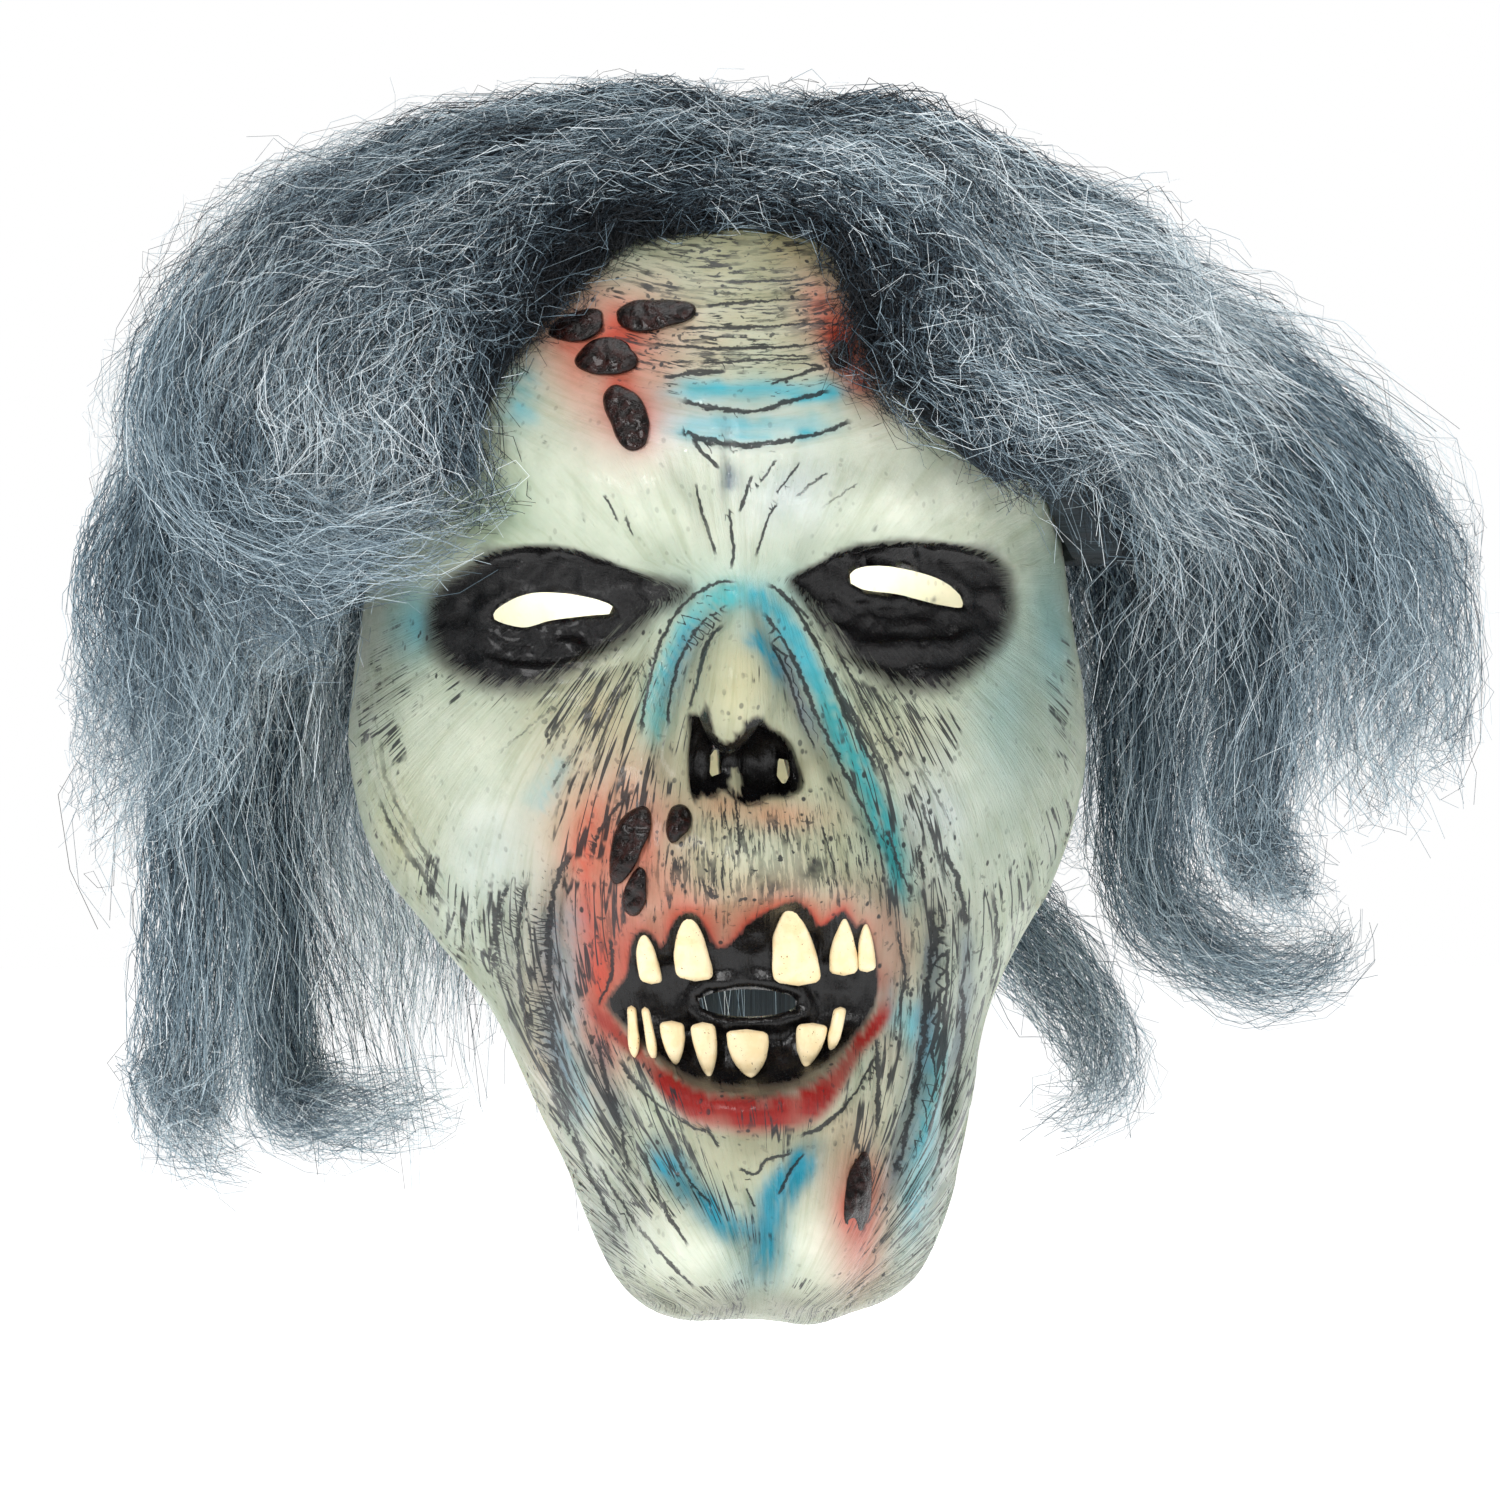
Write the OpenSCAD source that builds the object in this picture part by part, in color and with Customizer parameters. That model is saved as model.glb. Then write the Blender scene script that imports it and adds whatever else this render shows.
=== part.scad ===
// Overhead zombie costume mask. A thin cast latex head has eye, nostril, mouth
// and neck openings. Hard teeth stand in sockets in its gums, cured scab pieces
// sit on its skin, and hair wefts hang from two stitched tracks on its scalp.
// The face looks along -Y and +Z is up. The origin is the middle of the head
// that wears the mask, level with the eyes.

/* [Head] */
// Half width of the mask across the cheeks
cheek_half_w = 97; // [95:0.5:98]
// Height of the crown above the eyes
crown_h = 112; // [110:1:114]
// Depth of the face in front of the head's middle, at the mouth
face_depth = 102; // [99:1:104]
// Depth of the back of the head behind its middle
back_depth = 99; // [96:1:101]
// Drop of the chin below the eyes
chin_drop = 183; // [180:1:185]
// Height of the neck edge at the nape, below the eyes
nape_drop = 66; // [62:1:70]
// Wall thickness of the latex
wall = 2; // [1.6:0.1:2.4]
// Extra wall in the gums, where the teeth are set
gum_wall = 2.2; // [1.8:0.1:2.6]

/* [Openings] */
// Length of each eye hole
eye_len = 31; // [28:0.5:33]
// Height of each eye hole
eye_h = 9; // [8:0.2:10]
// Width of the breathing slit in the mouth
slit_w = 26; // [22:0.5:28]
// Height of the breathing slit in the mouth
slit_h = 8; // [7:0.2:9]
// Diameter of the nostril holes
nostril_d = 3; // [2.5:0.1:3.5]

/* [Trim] */
// Depth of a tooth's root below the surface of the gum
root_depth = 1.4; // [1:0.1:1.8]
// Clearance between a tooth and its socket
socket_gap = 0.15; // [0.1:0.05:0.2]
// Height of a scab above the skin
scab_h = 2.6; // [2:0.1:3.5]
// Layer of cement under each glued piece
glue_gap = 0.65; // [0.6:0.05:0.8]

/* [Hair] */
// Height of the hair above the crown at the parting
parting_h = 17; // [14:1:20]
// Number of wefts on each side of the parting
wefts = 6; // [5:1:7]
// Gap between neighbouring wefts, as a share of a weft's width
weft_gap = 0.03; // [0.02:0.01:0.06]
// Width of the stitched track that the wefts hang from
track_w = 6; // [5:0.5:8]
// Thickness of the stitched track
track_t = 1.2; // [1:0.1:1.5]

/* [Hidden] */

columns = 60;
rows = 36;
// Columns crowd together towards the face by this many degrees.
face_crowding = 25;
brow_z = 20;
jaw_z = -150;

// ---- Smooth curves through a few points, each [position, value] ----

function key_index(keys, p, i = 0) =
    (i >= len(keys) - 2 || p <= keys[i + 1][0]) ? i : key_index(keys, p, i + 1);

function key_slope(keys, i) =
    let (
        a = max(i - 1, 0),
        b = min(i + 1, len(keys) - 1)
    )
    (keys[b][1] - keys[a][1]) / (keys[b][0] - keys[a][0]);

function along(keys, p) =
    let (
        i = key_index(keys, p),
        p0 = keys[i][0],
        h = keys[i + 1][0] - p0,
        t = min(max((p - p0) / h, 0), 1),
        m0 = key_slope(keys, i) * h,
        m1 = key_slope(keys, i + 1) * h
    )
    (2 * t ^ 3 - 3 * t ^ 2 + 1) * keys[i][1] + (t ^ 3 - 2 * t ^ 2 + t) * m0
    + (3 * t ^ 2 - 2 * t ^ 3) * keys[i + 1][1] + (t ^ 3 - t ^ 2) * m1;

// ---- Head outline: half width, front depth, back depth and side shift by height ----

HALF_W = [
    [-chin_drop, 66], [-165, 53], [-150, 52.5], [-135, 57], [-120, 61], [-105, 66.5], [-88, 77],
    [-75, 86], [-60, 93], [-40, cheek_half_w], [-20, 96], [0, 93], [25, 90], [crown_h, 88]
];
FRONT = [
    [-chin_drop, 98], [-150, 98], [-130, 100], [-100, face_depth], [-70, 100], [-40, 94], [0, 90],
    [30, 94], [60, 92], [crown_h, 84]
];
BACK = [[-chin_drop, 60], [-nape_drop, 84], [-40, 90], [0, 98], [30, back_depth], [crown_h, 92]];
SHIFT = [[-chin_drop, 10], [-150, 10], [-120, 6.5], [-105, 5], [-80, 1.5], [-60, 0], [crown_h, 0]];
// Lower edge of the casting by angle from the face: chin, jaw, ear, nape
RIM = [
    [0, -178.5], [40, -177], [60, -170], [72, -150], [80, -120], [86, -100], [92, -85],
    [100, -73], [115, -nape_drop], [180, -nape_drop]
];

// The crown and the chin close like a dome.
function dome(z) =
    z > brow_z ? sqrt(max(1 - ((z - brow_z) / (crown_h - brow_z)) ^ 2, 0))
    : z < jaw_z ? sqrt(max(1 - ((jaw_z - z) / (chin_drop + jaw_z)) ^ 2, 0))
    : 1;

function half_w(z) = along(HALF_W, z) * dome(z);
function front(z) = along(FRONT, z) * dome(z);
function back(z) = along(BACK, z) * (z > brow_z ? dome(z) : 1);
function shift(z) = along(SHIFT, z);

// ---- Relief of the face: [x, z, half width, half height, height, turn, steepness] ----

RELIEF = [
    [-44, -5, 27, 15, -11, 0, 1],    // left eye socket
    [43, 0, 27, 15, -11, 0, 1],      // right eye socket
    [-34, 27, 27, 9, 7, -28, 1],     // left brow
    [38, 23, 28, 9, 7, 3, 1],        // right brow
    [0, 30, 8, 13, -3, 0, 1],        // frown
    [-1, -12, 11, 20, 15, 0, 1],     // bridge of the nose
    [0, -27, 9, 8, 6, 0, 1],         // tip of the nose
    [1, -43, 14, 9, -14, 0, 1],      // hollow where the nose has gone
    [1, -66, 32, 20, 8, 0, 1],       // upper lip
    [1.6, -100, 36, 22, -15, 0, 2],  // open mouth
    [1, -130, 30, 7, 5, 0, 1],       // lower lip
    [-13, -158, 15, 16, 5, 0, 1],    // left lobe of the chin
    [22, -155, 15, 18, 6, 0, 1],     // right lobe of the chin
    [3, -160, 5, 14, -4, 0, 1],      // cleft of the chin
    [-70, -44, 20, 24, 5, 0, 1],     // left cheek
    [68, -36, 20, 24, 5, 0, 1],      // right cheek
    [-48, -76, 13, 26, -5, 0, 1],    // left cheek hollow
    [50, -80, 13, 26, -5, 0, 1]      // right cheek hollow
];

function mound(x, z, m) =
    let (
        dx = x - m[0],
        dz = z - m[1],
        across = (dx * cos(m[5]) + dz * sin(m[5])) / m[2],
        up = (dz * cos(m[5]) - dx * sin(m[5])) / m[3]
    )
    m[4] * exp(-((across ^ 2 + up ^ 2) ^ m[6]));

function relief(x, z) = [for (m = RELIEF) mound(x, z, m)] * [for (m = RELIEF) 1];

// ---- Outer and inner surface of the casting ----

function edge_z(u) = along(RIM, u <= 180 ? u : 360 - u);

function height_at(u, v) =
    crown_h + (edge_z(u) - crown_h) * (0.35 * (1 - cos(180 * v)) + 0.3 * v);

function skin(u, v) =
    let (
        z = height_at(u, v),
        x = shift(z) + half_w(z) * sin(u),
        y = cos(u) > 0 ? -front(z) * cos(u) : -back(z) * cos(u)
    )
    [x, y - relief(x, z) * max(cos(u), 0) ^ 0.5, z];

function unit(p) = p / max(norm(p), 1e-9);

function outward(u, v) =
    v < 0.001 ? [0, 0, 1]
    : unit(cross(
        skin(u + 1, v) - skin(u - 1, v),
        skin(u, max(v - 0.006, 0)) - skin(u, min(v + 0.006, 1))
    ));

function thickness(x, y, z) =
    wall + (y < 0 ? gum_wall * exp(-(((x - 1.6) / 40) ^ 2 + ((z + 100) / 27) ^ 2) ^ 2) : 0);

function lining(u, v) =
    let (p = skin(u, v))
    p - outward(u, v) * thickness(p[0], p[1], p[2]);

function column_angle(i) =
    let (a = 360 * i / columns)
    a - face_crowding * sin(a);

// Depth of the skin straight in front of a point of the face
function face_y(x, z) =
    let (c = sqrt(max(1 - ((x - shift(z)) / half_w(z)) ^ 2, 0)))
    -front(z) * c - relief(x, z) * c ^ 0.5;

module casting() {
    outer = [for (j = [1:rows], i = [0:columns - 1]) skin(column_angle(i), j / rows)];
    inner = [for (j = [1:rows], i = [0:columns - 1]) lining(column_angle(i), j / rows)];
    ring = columns;
    sheet = rows * columns;
    outer_pole = 2 * sheet;
    inner_pole = outer_pole + 1;
    last = (rows - 1) * ring;
    quads = [for (j = [0:rows - 2], i = [0:ring - 1])
        [j * ring + i, j * ring + (i + 1) % ring, (j + 1) * ring + (i + 1) % ring, (j + 1) * ring + i]];
    skin_faces = [for (q = quads, f = [[q[0], q[2], q[3]], [q[0], q[1], q[2]]]) f];
    lining_faces = [for (f = skin_faces) [f[0] + sheet, f[2] + sheet, f[1] + sheet]];
    cap_faces = [for (i = [0:ring - 1]) [outer_pole, (i + 1) % ring, i]];
    cup_faces = [for (i = [0:ring - 1]) [inner_pole, sheet + i, sheet + (i + 1) % ring]];
    edge_faces = [for (i = [0:ring - 1], f = [
        [last + i, last + (i + 1) % ring, sheet + last + (i + 1) % ring],
        [last + i, sheet + last + (i + 1) % ring, sheet + last + i]
    ]) f];
    polyhedron(
        points = concat(outer, inner, [[0, 0, crown_h], [0, 0, crown_h - wall]]),
        faces = concat(skin_faces, lining_faces, cap_faces, cup_faces, edge_faces),
        convexity = 10
    );
}

// ---- Openings: tapered slots cut straight back through the wall ----

module slot(x, z, len, high, turn, drop) {
    slot_y = face_y(x, z);
    translate([x, slot_y, z]) rotate([90, 0, 0]) rotate([0, 0, turn])
    hull() {
        for (side = [-1, 1])
            translate([side * (len / 2 - 1.5), side * drop, -12]) cylinder(r = 1.5, h = 24, $fn = 16);
        translate([0, 0, -12]) scale([1, high / (0.7 * len), 1]) cylinder(r = 0.35 * len, h = 24, $fn = 32);
    }
}

LEFT_EYE = [-46, -3.5];
RIGHT_EYE = [42.5, 3];
LEFT_NOSTRIL = [-6.5, -42];
RIGHT_NOSTRIL = [10.5, -44];
MOUTH_SLIT = [1.8, -102];

module nostril(at) {
    translate([at[0], face_y(at[0], at[1]), at[1]]) rotate([90, 0, 0])
    hull() for (side = [-1, 1])
        translate([0, side * 0.8, -10]) cylinder(d = nostril_d, h = 20, $fn = 16);
}

// ---- Teeth: [x, root height, tip height, width at the root, width at the tip, lean] ----

UPPER_TEETH = [
    [-24.5, -85, -97, 4.2, 5.6, 2.4],
    [-13.6, -80.5, -96.2, 6, 9.3, 2.2],
    [11.6, -78.5, -97.5, 7.6, 11.9, 2.8],
    [25.3, -81, -95, 3.6, 7.2, 0.3],
    [30.9, -82.5, -94.2, 2.8, 4.4, 0.7]
];
LOWER_TEETH = [
    [-26.6, -114.8, -102.5, 3.4, 2.4, -0.8],
    [-22, -115.5, -102.8, 3, 2.2, -2.3],
    [-16.5, -116.5, -106.2, 3.6, 6.2, -1.1],
    [-8.4, -119.5, -106.4, 3.8, 6.2, -1.6],
    [2, -119.5, -108.2, 6.4, 10.6, -1],
    [16.2, -117, -106.6, 4.4, 7.6, 1.8],
    [22.6, -113, -102.8, 3.4, 3.2, 2.4]
];
tooth_t = 4.5;
arch_depth = 7;

arch_turn = 24;

// The teeth stand on an arch inside the lips that turns in at the left corner.
// Roots reach into the lip walls.
function arch_y(x) = face_y(x, -100) - arch_depth + 2.5 + 0.5 * max(-x - arch_turn, 0);

module tooth(t, upper, grow = 0) {
    up = upper ? 1 : -1;
    root_z = t[1] + up * root_depth;
    mid_z = (t[1] * 0.55 + t[2] * 0.45);
    y = arch_y(t[0]);
    hull() {
        translate([t[0], y, root_z]) scale([t[3] / tooth_t, 0.8, 0.5])
            sphere(d = tooth_t + 2 * grow, $fn = 12);
        translate([t[0] + t[5] * 0.4, y - 0.4, mid_z]) scale([(t[3] + t[4]) / 2 / tooth_t, 1, 0.8])
            sphere(d = tooth_t + 2 * grow, $fn = 12);
        translate([t[0] + t[5], y - 0.2, t[2] + up * 1.2]) scale([t[4] / tooth_t, 0.65, 0.6])
            sphere(d = tooth_t + 2 * grow, $fn = 12);
    }
}

module latex_shell() {
    color("#b3b59a")
    difference() {
        casting();
        slot(LEFT_EYE[0], LEFT_EYE[1], eye_len, eye_h, -3, -1.5);
        slot(RIGHT_EYE[0], RIGHT_EYE[1], eye_len, eye_h, -12, -1);
        slot(MOUTH_SLIT[0], MOUTH_SLIT[1], slit_w, slit_h, 0, 1);
        nostril(LEFT_NOSTRIL);
        nostril(RIGHT_NOSTRIL);
        for (t = UPPER_TEETH) tooth(t, true, socket_gap);
        for (t = LOWER_TEETH) tooth(t, false, socket_gap);
    }
}

module upper_tooth(i) {
    color("#ead9b0") tooth(UPPER_TEETH[i], true);
}

module lower_tooth(i) {
    color("#ead9b0") tooth(LOWER_TEETH[i], false);
}

// ---- Scabs: [x, z, half length, half width, turn] ----

FOREHEAD_SCABS = [
    [-40, 69, 7.5, 3.6, 18],
    [-21, 71.5, 9.4, 4.6, 4],
    [-33, 60.5, 8.2, 4.6, 4],
    [-28.5, 45, 8.2, 5.4, 105]
];
HAIRLINE_SCAB = [25.5, 61, 4.4, 2.4, 80];
CHEEK_SCABS = [
    [-28.5, -61.5, 9.5, 4.2, 65],
    [-16.5, -56.5, 5, 2.8, 80],
    [-27, -74, 6, 2.8, 75]
];
CHIN_SCAB = [28.5, -152.5, 13.5, 3.8, 88];
scab_rings = 4;
scab_sides = 12;
scab_edge = 0.3;
chin_lift = 0.3;

// A low blob whose underside follows the skin, a little further out on a tight bulge
module scab(s, lift = 0) {
    rest = glue_gap + lift;
    spots = [for (j = [1:scab_rings], i = [0:scab_sides - 1])
        let (
            a = 360 * i / scab_sides,
            r = j / scab_rings * (1 + 0.12 * sin(3 * a + 40) + 0.07 * sin(5 * a)),
            p = s[2] * r * cos(a),
            q = s[3] * r * sin(a)
        )
        [s[0] + p * cos(s[4]) - q * sin(s[4]), s[1] + p * sin(s[4]) + q * cos(s[4]), j / scab_rings]];
    low = [for (p = spots) [p[0], face_y(p[0], p[1]) - rest, p[1]]];
    high = [for (p = spots)
        [p[0], face_y(p[0], p[1]) - rest - scab_edge - scab_h * (1 - p[2] ^ 2.5), p[1]]];
    middle = face_y(s[0], s[1]) - rest;
    n = scab_sides;
    sheet = scab_rings * n;
    top = 2 * sheet;
    bands = [for (j = [0:scab_rings - 2], i = [0:n - 1])
        [j * n + i, j * n + (i + 1) % n, (j + 1) * n + (i + 1) % n, (j + 1) * n + i]];
    under = [for (q = bands, f = [[q[0], q[3], q[2]], [q[0], q[2], q[1]]]) f];
    over = [for (f = under) [f[0] + sheet, f[2] + sheet, f[1] + sheet]];
    rim = (scab_rings - 1) * n;
    polyhedron(
        points = concat(low, high, [[s[0], middle - scab_edge - scab_h, s[1]], [s[0], middle, s[1]]]),
        faces = concat(
            under,
            over,
            [for (i = [0:n - 1]) [top + 1, i, (i + 1) % n]],
            [for (i = [0:n - 1]) [top, sheet + (i + 1) % n, sheet + i]],
            [for (i = [0:n - 1]) [rim + i, sheet + rim + (i + 1) % n, rim + (i + 1) % n]],
            [for (i = [0:n - 1]) [rim + i, sheet + rim + i, sheet + rim + (i + 1) % n]]
        ),
        convexity = 4
    );
}

module forehead_scab(i) {
    color("#3a1512") scab(FOREHEAD_SCABS[i]);
}

module hairline_scab() {
    color("#3a1512") scab(HAIRLINE_SCAB);
}

module cheek_scab(i) {
    color("#3a1512") scab(CHEEK_SCABS[i]);
}

module chin_scab() {
    color("#3a1512") scab(CHIN_SCAB, chin_lift);
}

// ---- A closed solid through rings of points, all with the same number of points ----

module rings_solid(rings) {
    n = len(rings[0]);
    last = (len(rings) - 1) * n;
    polyhedron(
        points = [for (r = rings, p = r) p],
        faces = concat(
            [[for (i = [0:n - 1]) i]],
            [for (j = [0:len(rings) - 2], i = [0:n - 1], f = [
                [j * n + i, (j + 1) * n + i, (j + 1) * n + (i + 1) % n],
                [j * n + i, (j + 1) * n + (i + 1) % n, j * n + (i + 1) % n]
            ]) f],
            [[for (i = [0:n - 1]) last + n - 1 - i]]
        ),
        convexity = 6
    );
}

// ---- Stitched tracks: bands on the scalp beside the parting ----

track_x = 8;
track_front = -46;
track_back = 74;
track_steps = 14;

// Height of the scalp over a point near the parting, refined in a few steps
function scalp_z(x, y, guess = 100, step = 4) =
    let (
        reach = along(y < 0 ? FRONT : BACK, guess),
        inside = 1 - (x / along(HALF_W, guess)) ^ 2 - (y / reach) ^ 2,
        z = brow_z + (crown_h - brow_z) * sqrt(max(inside, 0))
    )
    step == 0 ? z : scalp_z(x, y, z, step - 1);

module hair_track(side) {
    rings = [for (k = [0:track_steps])
        let (
            y = track_front + (track_back - track_front) * k / track_steps,
            inner_x = side * track_x,
            outer_x = side * (track_x + track_w),
            inner_z = scalp_z(inner_x, y) + 2 * glue_gap,
            outer_z = scalp_z(outer_x, y) + 2 * glue_gap,
            ring = [
                [inner_x, y, inner_z], [outer_x, y, outer_z],
                [outer_x, y, outer_z + track_t], [inner_x, y, inner_z + track_t]
            ]
        )
        side > 0 ? [for (i = [3:-1:0]) ring[i]] : ring];
    color("#2e363d") rings_solid(rings);
}

// ---- Hair wefts: each fills a sector between the scalp and the hair's outline ----

hair_z = 15;
hair_side = 99;
hair_front = 97;
hair_back = 103;
hair_top = 100.5;
first_root_y = -52;
last_root_y = 26;
weft_rings = 11;
weft_sides = 12;
first_lean = 3;

// Thickness of the hair by angle from the parting, down the two sides
LEFT_THICK = [[0, parting_h], [30, 30], [60, 54], [90, 54], [115, 76], [130, 76], [142, 70]];
RIGHT_THICK = [[0, parting_h], [30, 26], [60, 49], [75, 68], [90, 90], [104, 101], [114, 88], [135, 64]];
// Share of that thickness from the face round to the back
THICK_SHARE = [[0, 0.5], [0.25, 0.95], [0.45, 1], [0.7, 0.75], [1, 0.45]];
// Angle where each side's hair ends, from the face round to the back
LEFT_END = [[0, 98], [0.25, 124], [0.5, 136], [0.75, 134], [1, 146]];
RIGHT_END = [[0, 92], [0.25, 108], [0.5, 114], [0.75, 122], [1, 146]];

// Degrees that the front hair turns towards the face, by angle from the parting
LEFT_SWEEP = [[0, 0], [17, 0], [29, 5], [42, 11], [68, 13], [81, 14], [95, 0], [120, -8]];
RIGHT_SWEEP = [[0, 0], [13, 0], [25, 26], [44, 36], [61, 34], [74, 20], [84, 4], [100, -8]];
sweep_end = 0.4;

// Hair that hangs below this angle is cut off level, more slowly where it is short.
level_lean = 112;
LEVEL_RATE = [[0, 0.9], [0.75, 0.9], [1, 0.3]];

function root_y(q) = first_root_y + (last_root_y - first_root_y) * min(q / 0.7, 1);
function sweep(side, q, lean) =
    along(side < 0 ? LEFT_SWEEP : RIGHT_SWEEP, lean) * max(1 - q / sweep_end, 0);
function heading(side, q, lean) =
    90 + 90 * max((q - 0.35) / 0.65, 0) ^ 1.3 - sweep(side, q, lean);

function hair_ray(side, q, lean) =
    let (h = heading(side, q, lean))
    [side * sin(lean) * sin(h), -sin(lean) * cos(h), cos(lean)];

// Distance from the root line to the hair's inner face, which hugs the scalp and then hangs
function hair_inner(side, q, lean) =
    let (
        d = hair_ray(side, q, lean),
        y0 = root_y(q),
        depth = hair_back + (hair_front - hair_back) * max(-y0, 0) / -first_root_y,
        a = (d[0] / hair_side) ^ 2 + (d[1] / depth) ^ 2 + (d[2] > 0 ? (d[2] / hair_top) ^ 2 : 0),
        b = 2 * y0 * d[1] / depth ^ 2,
        c = (y0 / depth) ^ 2 - 1
    )
    (-b + sqrt(b ^ 2 - 4 * a * c)) / (2 * a);

function hair_point(side, q, lean, share) =
    let (
        thick = along(side < 0 ? LEFT_THICK : RIGHT_THICK, lean) * along(THICK_SHARE, q),
        r = hair_inner(side, q, lean) + thick * share
    )
    [0, root_y(q), hair_z] + r * hair_ray(side, q, lean);

// Angle where the hair of a weft ends, at a share of its thickness
function end_lean(side, q, share) =
    let (lean = along(side < 0 ? LEFT_END : RIGHT_END, q))
    lean - along(LEVEL_RATE, q) * max(lean - level_lean, 0) * (share - 0.5);

function softened(c) = sign(c) * abs(c) ^ 0.6;

function weft_end(t) = t > 0.8 ? 1 - 0.55 * ((t - 0.8) / 0.2) ^ 2 : 1;

module weft(side, i) {
    half_q = (0.5 - weft_gap) / wefts;
    middle_q = (i + 0.5) / wefts;
    rings = [for (k = [0:weft_rings - 1])
        let (
            t = k / (weft_rings - 1),
            shrink = weft_end(t),
            ring = [for (n = [0:weft_sides - 1])
                let (
                    a = 360 * n / weft_sides,
                    q = middle_q + half_q * shrink * softened(cos(a)),
                    share = 0.5 + 0.5 * shrink * softened(sin(a)),
                    lean = first_lean + (end_lean(side, middle_q, share) - first_lean) * t
                )
                hair_point(side, q, lean, share)]
        )
        side < 0 ? [for (n = [weft_sides - 1:-1:0]) ring[n]] : ring];
    color(i % 2 == 0 ? "#5d7180" : "#6f8492") rings_solid(rings);
}

// ---- Curls: tapered locks that hang on from the end of a weft ----
// Each has its weft's number, its place across the weft's thickness, the radius
// it starts with, and the points it then passes through, each [x, y, z, radius].

LEFT_CURLS = [
    [3, 0.5, 10, [[-131, 2, -121, 10], [-135, 2, -131, 8], [-132, 1, -141, 5], [-122, 1, -148, 2.5]]],
    [4, 0.5, 7, [[-105, 56, -129, 8], [-97, 51, -135, 7], [-83, 46, -136, 6], [-69, 41, -131, 3]]]
];
RIGHT_CURLS = [
    [3, 0.4, 9, [[131, 1, -58, 8], [137, 0, -68, 6], [147, -1, -76, 4], [158, -2, -78, 2]]],
    [4, 0.4, 11, [[112, 56, -72, 10], [124, 50, -90, 9], [144, 42, -100, 7], [163, 36, -97, 5], [173, 33, -85, 2.5]]],
    [5, 0.45, 11, [[76, 94, -80, 10], [92, 82, -102, 9], [104, 70, -121, 7], [104, 62, -134, 5], [93, 57, -142, 2.5]]]
];
curl_sides = 10;
// A curl leaves its weft squarely over this length, just clear of the weft's end.
curl_start = 8;
tip_gap = 1.9;

// A weft's end: a point on it, the way it faces and the way its hair hangs
function weft_tip(side, i, share) =
    let (
        q = (i + 0.5) / wefts,
        lean = end_lean(side, q, share),
        p = hair_point(side, q, lean, share),
        outer = hair_point(side, q, end_lean(side, q, share + 0.1), share + 0.1),
        behind = hair_point(side, q + 0.01, lean, share),
        facing = side * unit(cross(behind - p, outer - p))
    )
    [p, facing, unit(p - hair_point(side, q, lean - 1, share))];

module curl(side, c) {
    tip = weft_tip(side, c[0] - 1, c[1]);
    first = tip[0] + tip[1] * tip_gap;
    second = first + tip[2] * curl_start;
    path = concat([[first[0], first[1], first[2], c[2]], [second[0], second[1], second[2], c[2]]], c[3]);
    n = len(path);
    rings = [for (k = [0:n - 1])
        let (
            before = path[max(k - 1, 0)],
            after = path[min(k + 1, n - 1)],
            p = path[k],
            travel = [after[0] - before[0], after[1] - before[1], after[2] - before[2]],
            forward = k == 0 ? tip[1] : unit(travel),
            across = unit(cross(forward, [0, 1, 0])),
            through = cross(across, forward)
        )
        [for (i = [0:curl_sides - 1])
            [p[0], p[1], p[2]]
            + p[3] * (cos(360 * i / curl_sides) * across - sin(360 * i / curl_sides) * through)]];
    color("#67808f") rings_solid(rings);
}

latex_shell();
for (i = [0:4]) upper_tooth(i);
for (i = [0:6]) lower_tooth(i);
for (i = [0:3]) forehead_scab(i);
hairline_scab();
for (i = [0:2]) cheek_scab(i);
chin_scab();
hair_track(-1);  // hair_track_left
hair_track(1);  // hair_track_right
for (i = [0:wefts - 1]) weft(-1, i);
for (i = [0:wefts - 1]) weft(1, i);
for (i = [0:1]) curl(-1, LEFT_CURLS[i]);
for (i = [0:2]) curl(1, RIGHT_CURLS[i]);
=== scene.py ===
"""Looks of the latex monster mask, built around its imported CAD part. Lengths here are in mm."""
import math

import bpy
import numpy as np
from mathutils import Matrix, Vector


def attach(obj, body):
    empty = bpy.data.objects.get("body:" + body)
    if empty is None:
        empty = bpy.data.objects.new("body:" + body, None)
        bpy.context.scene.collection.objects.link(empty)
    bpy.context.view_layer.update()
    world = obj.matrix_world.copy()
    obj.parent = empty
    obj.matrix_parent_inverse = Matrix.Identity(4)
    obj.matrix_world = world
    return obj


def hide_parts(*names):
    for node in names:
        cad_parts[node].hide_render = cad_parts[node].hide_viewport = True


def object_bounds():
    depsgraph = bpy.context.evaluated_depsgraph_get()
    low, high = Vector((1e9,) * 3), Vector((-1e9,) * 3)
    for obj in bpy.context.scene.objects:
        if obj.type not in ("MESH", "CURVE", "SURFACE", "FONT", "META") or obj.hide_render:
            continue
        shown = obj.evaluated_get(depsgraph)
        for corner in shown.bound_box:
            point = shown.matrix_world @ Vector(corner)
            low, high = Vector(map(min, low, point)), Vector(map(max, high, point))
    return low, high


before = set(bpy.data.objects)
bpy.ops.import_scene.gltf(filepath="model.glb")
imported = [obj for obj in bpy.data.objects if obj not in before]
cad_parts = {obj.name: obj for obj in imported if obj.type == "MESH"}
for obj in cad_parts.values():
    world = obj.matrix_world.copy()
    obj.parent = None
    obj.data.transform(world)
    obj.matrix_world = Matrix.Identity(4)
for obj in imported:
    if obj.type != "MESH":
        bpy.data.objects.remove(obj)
CAD_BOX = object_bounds()
MM = 0.001
BODY = "root"

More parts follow.
